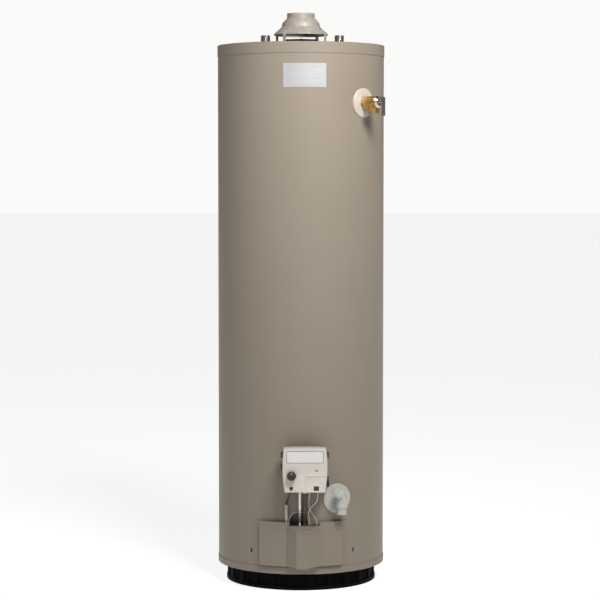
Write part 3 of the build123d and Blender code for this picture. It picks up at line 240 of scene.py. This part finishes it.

# ---------------------------------------------------------------- intake screen
# Fine woven wire that keeps lint out of the air windows. Black-coated steel, curled inside the ring
# and held by its spring. Its near-black, dull colour is also painted shade, for the dark space behind
# the windows.
screen_wires = 900
# Near-black and dull: partly the black coating, partly painted shade for the dark space behind the windows.
screen_painted_shade, tree, shader = finish_of(
    "screen", (0.004, 0.004, 0.004), (0.002, 0.002, 0.002), (0.7, 0.8), patches=60, dust=0.0,
    rubbed_edge_highlight=(0.008, 0.008, 0.008), Specular_IOR_Level=0.03)
place = node(tree, "TexCoord").outputs["Object"]
warp = node(tree, "TexWave", {"Scale": screen_wires / 3}, bands_direction="Z")
weft = node(tree, "TexWave", {"Scale": screen_wires / 3}, bands_direction="DIAGONAL")
tree.links.new(place, warp.inputs["Vector"])
tree.links.new(place, weft.inputs["Vector"])
woven = maths(tree, "MAXIMUM", warp.outputs["Fac"], weft.outputs["Fac"])
raised = node(tree, "Bump", {"Strength": 0.8, "Distance": 0.2 * mm})
tree.links.new(woven, raised.inputs["Height"])
tree.links.new(raised.outputs[0], shader.inputs["Normal"])
dress("intake_screen", screen_painted_shade)

# ---------------------------------------------------------------- base pan and flame arrestor
# The pan is pressed from sheet steel and painted with the jacket. The arrestor in its middle is a
# stack of pierced stainless plate that air passes up through.
taupe, taupe_dark = (0.222, 0.185, 0.143), (0.211, 0.176, 0.136)


def enamel(name, light, dark, dust=0.12):
    """Baked satin enamel on sheet steel, with a faint orange peel."""
    return finish_of(name, light, dark, (0.46, 0.52), patches=6, specks=420, share=0.25, depth=0.05,
                     bump=0.12,
                     rubbed_edge_highlight=tuple(c * 1.15 for c in light), edge_highlight_rub=0.4, dust=dust)[0]


jacket_paint = enamel("jacket_paint", taupe, taupe_dark)
burner_steel = finish_of("burner_steel", (0.42, 0.41, 0.4), (0.25, 0.23, 0.21), (0.3, 0.5), metal=1.0,
                         patches=30,
                         specks=900, stretch=(1, 1, 8), rubbed_edge_highlight=(0.6, 0.6, 0.6))[0]
eased("base_pan", "base_pan_pressed", 0.5, "heater", jacket_paint, "jacket_paint")
dress("flame_arrestor", burner_steel)

# ---------------------------------------------------------------- tank
# The pressure tank: rolled and welded steel with two dished heads, bare and scaled outside, lined
# with glass inside. It is hidden by the foam.
tank_steel = finish_of("tank_steel", (0.2, 0.21, 0.22), (0.1, 0.1, 0.11), (0.55, 0.75), metal=0.5, patches=12,
                       specks=300, depth=0.3)[0]
for name in ("tank_shell", "top_head", "bottom_head"):
    dress(name, tank_steel)

# ---------------------------------------------------------------- flue
# The flue is a thick tube up the middle of the tank, with a folded baffle hung in it that slows the
# gas. Both are bare steel, browned and blackened by heat.
flue_steel = finish_of("flue_steel", (0.05, 0.035, 0.025), (0.012, 0.011, 0.01), (0.6, 0.85), metal=0.6,
                       patches=40,
                       specks=700, share=0.5, depth=0.4, bump=0.6, rubbed_edge_highlight=(0.1, 0.07, 0.05))[0]
dress("flue_tube", flue_steel)
dress("flue_baffle", flue_steel)

# ---------------------------------------------------------------- anode
# A cast magnesium rod that corrodes in place of the tank. A moulded cap covers its hexagon head.
magnesium = finish_of("magnesium", (0.55, 0.55, 0.54), (0.4, 0.4, 0.4), (0.4, 0.6), metal=0.9, patches=30)[0]
cream_plastic = finish_of("cream_plastic", (0.48, 0.42, 0.35), (0.44, 0.385, 0.32), (0.34, 0.42), patches=18,
                          specks=900, share=0.3, depth=0.05, bump=0.2, rubbed_edge_highlight=(0.74, 0.7, 0.64), dust=0.15)[0]
dress("anode_rod", magnesium)
eased("anode_cap", "anode_cap_moulded", 0.6, "heater", cream_plastic, "cream_plastic")

# ---------------------------------------------------------------- water nipples
# Short pipes that carry the house plumbing. Zinc-plated steel, screwed into the top head, each with
# a taper thread cut on its upper end. The plastic dip tube hangs inside the cold one.
zinc = finish_of("zinc", (0.56, 0.54, 0.5), (0.3, 0.28, 0.25), (0.26, 0.42), metal=1.0, patches=70,
                 specks=1600,
                 depth=0.04, rubbed_edge_highlight=(0.8, 0.79, 0.76), dust=0.2)[0]
nipple_pitch, thread_depth, thread_taper = 2.21 * mm, 0.95 * mm, 1 / 32
thread_steps, round_steps = 10, 64
nipple_wall, thread_length = 2.9 * mm, 24 * mm


def tube_mesh(name, rings, steps):
    """A closed solid of revolution about Z from rings, where each ring is a function from an angle to
    (radius, height)."""
    points, faces = [], []
    for ring in rings:
        for step in range(steps):
            turn = 2 * pi * step / steps
            radius, height = ring(turn)
            points.append((radius * cos(turn), radius * sin(turn), height))
    count = len(rings)
    for row in range(count):
        for step in range(steps):
            a, b = row * steps, (row + 1) % count * steps
            across = (step + 1) % steps
            faces.append((a + step, a + across, b + across, b + step))
    mesh = bpy.data.meshes.new(name)
    mesh.from_pydata(points, [], faces)
    mesh.shade_smooth()
    mesh.set_sharp_from_angle(angle=radians(40))
    return mesh


def nipple_rings(low, top, radius):
    """The outline of a nipple, up the outside with its thread and down the bore."""
    waist = radius - thread_depth * 0.6
    crest_end = top - nipple_pitch * 0.6

    def plain(r, h):
        return lambda turn: (r, h)

    def cut(height):
        def at(turn):
            phase = (height / nipple_pitch - turn / (2 * pi)) % 1
            share = min(1.0, max(0.0, (height - top + thread_length) / (2 * nipple_pitch)))
            worn = max(0.0, (height - crest_end) / (top - crest_end))
            vee = abs(2 * phase - 1)
            crest = radius - (height - top + thread_length) * thread_taper / 2
            return crest - max(share * thread_depth * vee, worn * thread_depth), height
        return at

    rings = [plain(radius - nipple_wall, low), plain(waist, low), plain(waist, top - thread_length - 3 * mm)]
    steps = int(thread_length / nipple_pitch * thread_steps)
    rings += [cut(top - thread_length + thread_length * k / steps) for k in range(steps + 1)]
    rings += [plain(radius - nipple_wall, top), plain(radius - nipple_wall - 0.1 * mm, top - 2 * mm)]
    return rings


for name in ("cold_nipple", "hot_nipple"):
    low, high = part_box(name)
    middle, radius = (low + high) / 2, (high.x - low.x) / 2
    mesh = tube_mesh(name + "_threaded", nipple_rings(low.z, high.z, radius), round_steps)
    mesh.transform(Matrix.Translation((middle.x, middle.y, 0)))
    put_in(mesh, "heater", zinc, "zinc", name)
dip_plastic = finish_of("dip_plastic", (0.72, 0.72, 0.7), (0.66, 0.66, 0.63), (0.3, 0.4))[0]
dress("dip_tube", dip_plastic)

# ---------------------------------------------------------------- jacket, foam and top cover
# The outer skin: thin sheet steel rolled into a tube, locked in a folded seam at the back and painted,
# with foam blown behind it. The pressed cover is pushed over the top and held by friction.
dress("jacket", jacket_paint)
dress("insulation", finish_of("foam", (0.68, 0.58, 0.33), (0.55, 0.45, 0.24), (0.8, 0.9), patches=60,
                              specks=500,
                              share=0.5, depth=1.0, bump=0.6)[0])
eased("top_cover", "top_cover_pressed", 0.5, "heater", jacket_paint, "jacket_paint")

seam_half, seam_proud, seam_bevel = 7 * mm, 0.9 * mm, 0.6 * mm
low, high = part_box("jacket")
jacket_radius = high.x
cover_low, pan_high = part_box("top_cover")[0].z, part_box("base_pan")[1].z


def wall_strip(name, half, proud, bevel, bottom, top, radius):
    """A flat strip with beveled sides, lying up the back of the jacket."""
    outline = ((-half, -0.2 * mm), (-half + bevel, proud), (half - bevel, proud), (half, -0.2 * mm))
    points = [(x, radius + out - x * x / (2 * radius), z) for z in (bottom, top) for x, out in outline]
    faces = [(0, 1, 5, 4), (1, 2, 6, 5), (2, 3, 7, 6), (3, 0, 4, 7), (3, 2, 1, 0), (4, 5, 6, 7)]
    mesh = bpy.data.meshes.new(name)
    mesh.from_pydata(points, [], faces)
    return mesh


put_in(wall_strip("jacket_seam", seam_half, seam_proud, seam_bevel, pan_high, cover_low, jacket_radius),
       "heater", jacket_paint, "jacket_paint")

# ---------------------------------------------------------------- draft hood
# The hood that the vent pipe sits on: a spun galvanised cone on four strap legs, each strap riveted
# to the hood and to the cover. The gap under it lets room air in.
galvanised, tree, shader = finish_of(
    "galvanised", (0.34, 0.3, 0.26), (0.26, 0.225, 0.195), (0.5, 0.65), metal=0.2, patches=90, specks=1500,
    share=0.2, depth=0.03, rubbed_edge_highlight=(0.75, 0.75, 0.74), dust=0.3)
spangle = node(tree, "TexVoronoi", {"Scale": 130})
tree.links.new(node(tree, "TexCoord").outputs["Object"], spangle.inputs["Vector"])
flake = node(tree, "SeparateColor")
tree.links.new(spangle.outputs["Color"], flake.inputs[0])
glint = node(tree, "MapRange", {"To Min": 0.5, "To Max": 0.68})
tree.links.new(flake.outputs[0], glint.inputs["Value"])
tree.links.new(glint.outputs[0], shader.inputs["Roughness"])
eased("draft_hood", "draft_hood_spun", 0.3, "heater", galvanised, "galvanised")
eased("hood_legs", "hood_legs_pressed", 0.25, "heater", galvanised, "galvanised")
eased("hood_rivets", "hood_rivets_set", 0.2, "heater", zinc, "zinc")

# ---------------------------------------------------------------- label plate
# A blank nameplate of thin aluminium, curved to the jacket and glued on. Its face is brushed and
# clear coated, inside a plain pressed border.
label_metal = finish_of("label", (0.43, 0.43, 0.43), (0.33, 0.33, 0.34), (0.42, 0.52), metal=0.35,
                        patches=120,
                        specks=2600, share=0.6, stretch=(0.12, 0.12, 2.2), depth=0.02, bump=0.2,
                        rubbed_edge_highlight=(0.8, 0.8, 0.8), dust=0.0, Coat_Weight=0.4)[0]
eased("label_plate", "label_plate_blank", 0.25, "heater", label_metal, "label")

# ---------------------------------------------------------------- relief valve
# A cast and machined brass safety valve, screwed through the jacket into the tank, with a moulded
# collar behind it. A pressed steel lever on a pin lifts its stem against a spring.
brass = finish_of("brass", (0.74, 0.47, 0.18), (0.38, 0.22, 0.07), (0.22, 0.4), metal=1.0, patches=70,
                  specks=900,
                  share=0.45, depth=0.12, bump=0.35, rubbed_edge_highlight=(0.85, 0.62, 0.3), dust=0.15)[0]
nickel = finish_of("bonnet_steel", (0.78, 0.75, 0.68), (0.6, 0.57, 0.5), (0.16, 0.26), metal=1.0, patches=60,
                   specks=1200, depth=0.03)[0]
lever_steel = finish_of("lever_steel", (0.3, 0.29, 0.27), (0.18, 0.17, 0.16), (0.3, 0.44), metal=1.0,
                        patches=80,
                        specks=1300, stretch=(1, 1, 5), depth=0.04, rubbed_edge_highlight=(0.5, 0.5, 0.48))[0]
spring_steel = finish_of("spring_steel", (0.5, 0.5, 0.5), (0.38, 0.38, 0.38), (0.25, 0.35), metal=1.0)[0]
probe_brass = finish_of("copper", (0.45, 0.38, 0.25), (0.32, 0.26, 0.17), (0.35, 0.5), metal=0.9)[0]
eased("relief_escutcheon", "relief_escutcheon_moulded", 0.5, "heater", cream_plastic, "cream_plastic")
eased("relief_body", "relief_body_cast", 0.45, "heater", brass, "brass")
eased("relief_bonnet", "relief_bonnet_plated", 0.35, "heater", nickel, "bonnet_steel")
eased("relief_lever", "relief_lever_pressed", 0.3, "relief_lever", lever_steel, "lever_steel")
dress("relief_lever_pin", spring_steel)
dress("relief_stem", brass)
dress("relief_spring", spring_steel)
dress("relief_probe", probe_brass)

# ---------------------------------------------------------------- drain valve
# A moulded tap at the foot of the tank, screwed in through a collar that hides the hole. Its knob
# turns the stem out of its seat.
white_plastic = finish_of("white_plastic", (0.47, 0.48, 0.43), (0.4, 0.41, 0.37), (0.3, 0.4), patches=30,
                          specks=900, depth=0.05, bump=0.25, rubbed_edge_highlight=(0.72, 0.71, 0.68), dust=0.2)[0]
eased("drain_escutcheon", "drain_escutcheon_moulded", 0.5, "heater", white_plastic, "white_plastic")
eased("drain_body", "drain_body_moulded", 0.45, "heater", white_plastic, "white_plastic")
dress("drain_stem", white_plastic)
eased("drain_knob", "drain_knob_moulded", 0.5, "drain_knob", white_plastic, "white_plastic")

# ---------------------------------------------------------------- gas control
# The valve that meters gas: a dark die casting bolted to the tank by its probe, with a moulded cover
# over it. The fluted knob stands off the cover by its travel, on a sprung shaft. The igniter button,
# the lens and the plug come out through the cover, and dark bars round the blank label are painted
# shade for the shadow in the groove round it.
casting_grey = finish_of("casting", (0.04, 0.04, 0.04), (0.022, 0.022, 0.023), (0.42, 0.6), metal=0.7,
                         patches=50,
                         specks=1100, share=0.5, depth=0.15, bump=0.5, rubbed_edge_highlight=(0.3, 0.3, 0.3))[0]
cover_plastic = finish_of("control_plastic", (0.58, 0.535, 0.47), (0.53, 0.485, 0.425), (0.34, 0.44),
                          patches=20,
                          specks=1100, depth=0.05, bump=0.25, rubbed_edge_highlight=(0.75, 0.71, 0.65), dust=0.2)[0]
label_white = finish_of("control_label", (0.64, 0.63, 0.61), (0.59, 0.58, 0.56), (0.3, 0.36), patches=20,
                        specks=1800, depth=0.01, bump=0.1, dust=0.0)[0]
black_plastic = finish_of("black_plastic", (0.026, 0.017, 0.013), (0.012, 0.009, 0.008), (0.2, 0.3),
                          patches=50,
                          specks=1200, depth=0.04, bump=0.25, rubbed_edge_highlight=(0.1, 0.09, 0.08), dust=0.15)[0]
lens_glass = finish_of("lens", (0.12, 0.08, 0.06), (0.08, 0.05, 0.04), (0.08, 0.14), dust=0.0,
                       Coat_Weight=0.6)[0]
eased("control_casting", "control_casting_dark", 0.5, "heater", casting_grey, "casting")
eased("control_cover", "control_cover_moulded", 0.8, "heater", cover_plastic, "control_plastic")
eased("control_label", "control_label_blank", 0.1, "heater", label_white, "control_label")
dress("control_probe", probe_brass)
dress("knob_shaft", zinc)
dress("knob_spring", spring_steel)
dress("button_spring", spring_steel)

knob_flutes, flute_depth, knob_steps = 20, 0.7 * mm, 240
low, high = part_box("control_knob")
knob_middle, knob_round, knob_deep = (low + high) / 2, (high.x - low.x) / 2, high.y - low.y
shaft_round, shaft_deep, face_sunk = 4.1 * mm, 6.6 * mm, 0.5 * mm
knob_bevel, skirt_high, flutes_low, flutes_short = 0.4 * mm, 1.4 * mm, 2.0 * mm, 1.2 * mm
draft_low, draft_high, pinhole = 0.1 * mm, 0.5 * mm, 0.01 * mm
shoulder_in, shoulder_short, rim_in, face_in = 1.1 * mm, 0.35 * mm, 1.9 * mm, 2.6 * mm


def around(radius, height, fluted=0.0):
    """One ring of the knob, with its flutes cut to a share of their depth."""
    return lambda turn: (radius - fluted * flute_depth * (0.5 + 0.5 * cos(knob_flutes * turn)), height)


knob_rings = [
    around(shaft_round, 0), around(knob_round - knob_bevel, 0), around(knob_round, knob_bevel),
    around(knob_round, skirt_high), around(knob_round - draft_low, flutes_low, 1),
    around(knob_round - draft_high, knob_deep - flutes_short, 1),
    around(knob_round - shoulder_in, knob_deep - shoulder_short, 0.8),
    around(knob_round - rim_in, knob_deep, 0.4), around(knob_round - face_in, knob_deep - face_sunk),
    around(pinhole, knob_deep - face_sunk), around(pinhole, shaft_deep), around(shaft_round, shaft_deep)]
to_front = Matrix.Translation((knob_middle.x, high.y, knob_middle.z)) @ Matrix.Rotation(pi / 2, 4, "X")
mesh = tube_mesh("control_knob_fluted", knob_rings, knob_steps)
mesh.transform(to_front)
put_in(mesh, "control_knob", black_plastic, "black_plastic", "control_knob")


def bar_mesh(name, bars):
    """Flat printed or moulded bars, each from (inner, outer, half width, turn, low, high)."""
    points, faces = [], []
    for inner, outer, half, turn, low_y, high_y in bars:
        first = len(points)
        for up in (low_y, high_y):
            for across, out in ((-half, inner), (half, inner), (half, outer), (-half, outer)):
                points.append((across * cos(turn) + out * sin(turn), out * cos(turn) - across * sin(turn),
                               up))
        faces += [tuple(first + k for k in side) for side in
                  ((3, 2, 1, 0), (4, 5, 6, 7), (0, 1, 5, 4), (1, 2, 6, 5), (2, 3, 7, 6), (3, 0, 4, 7))]
    made = bpy.data.meshes.new(name)
    made.from_pydata(points, [], faces)
    return made


pointer_inner, pointer_outer, pointer_half = 4.5 * mm, 9.2 * mm, 0.55 * mm
pointer_under, pointer_short = 0.1 * mm, 0.2 * mm
mesh = bar_mesh("knob_pointer", [(pointer_inner, pointer_outer, pointer_half, 0,
                                  knob_deep - face_sunk - pointer_under, knob_deep - pointer_short)])
mesh.transform(to_front)
put_in(mesh, "control_knob", label_white, "control_label")
cover_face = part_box("control_cover")[0].y
mark_inner, mark_outer, mark_half = 14.6 * mm, 16.6 * mm, 0.3 * mm
mark_under, mark_proud = -0.05 * mm, 0.08 * mm
dial_sweep, dial_step = 120, 30
mesh = bar_mesh("dial_marks", [(mark_inner, mark_outer, mark_half, radians(turn), mark_under, mark_proud)
                               for turn in range(-dial_sweep, dial_sweep + 1, dial_step)])
mesh.transform(Matrix.Translation((knob_middle.x, cover_face, knob_middle.z)) @ Matrix.Rotation(pi / 2, 4,
                                                                                                "X"))
put_in(mesh, "heater", black_plastic, "black_plastic")
# Four dark bars round the blank label, in the casting's colour: painted shade for the shadow in the groove
# round the label.
groove_shade_width, groove_shade_under, groove_shade_proud = 0.9 * mm, -0.2 * mm, 0.04 * mm
low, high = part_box("control_label")
middle, wide, tall = (low + high) / 2, (high.x - low.x) / 2, (high.z - low.z) / 2
groove_shade_bars = [(tall, tall + groove_shade_width, wide + groove_shade_width, turn, groove_shade_under, groove_shade_proud) for turn in (0, pi)]
groove_shade_bars += [(wide, wide + groove_shade_width, tall, turn, groove_shade_under, groove_shade_proud) for turn in (pi / 2, -pi / 2)]
mesh = bar_mesh("label_groove_shade", groove_shade_bars)
mesh.transform(Matrix.Translation((middle.x, low.y, middle.z)) @ Matrix.Rotation(pi / 2, 4, "X"))
put_in(mesh, "heater", casting_grey, "casting")
eased("igniter_button", "igniter_button_moulded", 0.3, "igniter_button", black_plastic, "black_plastic")
eased("status_lens", "status_lens_smoked", 0.15, "heater", lens_glass, "lens")
eased("thermopile_plug", "thermopile_plug_moulded", 0.4, "heater", black_plastic, "black_plastic")

# ---------------------------------------------------------------- tubes and leads
# Gas goes down to the burner in a steel tube and to the pilot in a thin aluminium one, each held by a
# brass nut. The burner tube's dark brown is painted shade, for the shadow that the control casts on it.
# Beside them hang the igniter lead with its boot, and the pair of thermopile wires.
# Dark brown on the burner tube: painted shade for the shadow that the control casts on it.
tube_steel = finish_of("tube_steel", (0.13, 0.1, 0.085), (0.06, 0.045, 0.04), (0.35, 0.55), metal=0.8,
                       patches=60,
                       specks=900, rubbed_edge_highlight=(0.3, 0.26, 0.22))[0]
tube_aluminium = finish_of("tube_aluminium", (0.72, 0.72, 0.72), (0.58, 0.58, 0.58), (0.22, 0.34), metal=1.0,
                           patches=80, specks=1500, stretch=(1, 1, 0.2))[0]
lead_black = finish_of("lead_black", (0.02, 0.02, 0.02), (0.012, 0.012, 0.012), (0.4, 0.5), specks=1500)[0]
lead_clear = finish_of("lead_clear", (0.5, 0.48, 0.44), (0.42, 0.4, 0.36), (0.35, 0.45), specks=1500)[0]
lead_pink = finish_of("lead_pink", (0.68, 0.5, 0.44), (0.62, 0.5, 0.46), (0.35, 0.45), specks=1500)[0]
dress("gas_tube", tube_steel)
dress("pilot_tube", tube_aluminium)
eased("tube_nuts", "tube_nuts_machined", 0.3, "heater", brass, "brass")
dress("igniter_lead", lead_black)
dress("electrode_lead", lead_clear)
eased("igniter_boot", "igniter_boot_moulded", 0.4, "heater", white_plastic, "white_plastic")
dress("thermopile_wires", lead_pink)

# ---------------------------------------------------------------- notch trim and inner door
# A soft moulding is pushed on to the raw edge of the notch that the tubes go in by. Behind it the
# burner opening is closed by a painted door on a glass-fibre gasket, with a sight glass in it.
trim_grey = finish_of("trim_grey", (0.5, 0.48, 0.44), (0.42, 0.4, 0.37), (0.5, 0.6), specks=1300)[0]
gasket = finish_of("gasket", (0.55, 0.52, 0.45), (0.42, 0.4, 0.34), (0.85, 0.95), patches=200, specks=900,
                   share=0.6, depth=0.5, bump=0.7)[0]
sight_glass = finish_of("glass", (0.35, 0.38, 0.38), (0.3, 0.33, 0.33), (0.04, 0.08), dust=0.0,
                        Coat_Weight=0.5)[0]
eased("notch_trim", "notch_trim_pushed_on", 0.25, "heater", trim_grey, "trim_grey")
eased("inner_door", "inner_door_pressed", 0.4, "heater", jacket_paint, "jacket_paint")
dress("door_gasket", gasket)
eased("door_screws", "door_screws_zinc", 0.2, "heater", zinc, "zinc")
dress("sight_glass", sight_glass)

# ---------------------------------------------------------------- burner
# A round pressed stainless burner on the end of the gas tube, with its brass orifice under it and the
# pilot beside it.
for name in ("burner", "pilot_burner"):
    dress(name, burner_steel)
dress("burner_orifice", brass)

# ---------------------------------------------------------------- outer door
# The door over the burner opening: painted sheet steel with folded edges and a pressed bulge that
# clears the tubes. It pulls straight off its clips.
eased("outer_door", "outer_door_pressed", 0.5, "outer_door", jacket_paint, "jacket_paint")

# ---------------------------------------------------------------- stage
# A plain pale floor that glows a little, a white surround, and two soft lights high at the front: a
# strong one on the right and a weak one on the left.
floor_half, floor_drop = 60.0, 0.5 * mm
floor = bpy.data.meshes.new("floor")
floor.from_pydata([(x, y, -floor_drop) for x, y in ((-floor_half, -floor_half), (floor_half, -floor_half),
                                                    (floor_half, floor_half), (-floor_half, floor_half))],
                  [], [(0, 1, 2, 3)])
floor.materials.append(finish_of("floor_pale", (0.3, 0.3, 0.3), (0.29, 0.29, 0.29), (0.85, 0.9), patches=0.5,
                                 specks=60, dust=0.0, bump=0.02, Emission_Color=(1, 1, 1, 1),
                                 Emission_Strength=0.88)[0])
floor_piece = bpy.data.objects.new("floor", floor)
bpy.context.scene.collection.objects.link(floor_piece)

world = bpy.data.worlds.new("white_room")
world.use_nodes = True
room_light, wall_white = 0.05, (0.96, 0.96, 0.95, 1)
room = world.node_tree.nodes["Background"]
room.inputs["Color"].default_value = (1, 1, 1, 1)
room.inputs["Strength"].default_value = room_light
walls = world.node_tree.nodes.new("ShaderNodeBackground")
walls.inputs["Color"].default_value = wall_white
seen = world.node_tree.nodes.new("ShaderNodeLightPath")
either = world.node_tree.nodes.new("ShaderNodeMixShader")
world.node_tree.links.new(seen.outputs["Is Camera Ray"], either.inputs[0])
world.node_tree.links.new(room.outputs[0], either.inputs[1])
world.node_tree.links.new(walls.outputs[0], either.inputs[2])
world.node_tree.links.new(either.outputs[0], world.node_tree.nodes["World Output"].inputs["Surface"])
bpy.context.scene.world = world
bpy.context.scene.view_settings.view_transform = "Standard"


def soft_light(name, azimuth, distance, height, size, power, aim, spread):
    """A square soft light at an azimuth round the heater, aimed at a height on its axis and spread over
    an angle in degrees."""
    lamp = bpy.data.lights.new(name, "AREA")
    lamp.shape, lamp.size, lamp.energy = "SQUARE", size, power
    lamp.spread = radians(spread)
    holder = bpy.data.objects.new(name, lamp)
    bpy.context.scene.collection.objects.link(holder)
    turn = radians(azimuth)
    holder.location = (distance * sin(turn), -distance * cos(turn), height)
    holder.rotation_euler = (Vector((0, 0, aim)) - holder.location).to_track_quat("-Z", "Y").to_euler()


soft_light("key", 22, 2.3, 3.0, 1.0, 37, 1.45, 95)
soft_light("fill", -40, 2.8, 2.9, 1.4, 5, 1.45, 95)

camera_distance, camera_side, camera_height, camera_drop = 5.65, -0.0025, 1.109, radians(3.41)
lens = bpy.data.cameras.new("camera")
lens.lens, lens.sensor_width = 122.35, 36
camera = bpy.data.objects.new("camera", lens)
camera.location = (camera_side, -camera_distance, camera_height)
camera.rotation_euler = (pi / 2 - camera_drop, 0, 0)
bpy.context.scene.collection.objects.link(camera)
bpy.context.scene.camera = camera
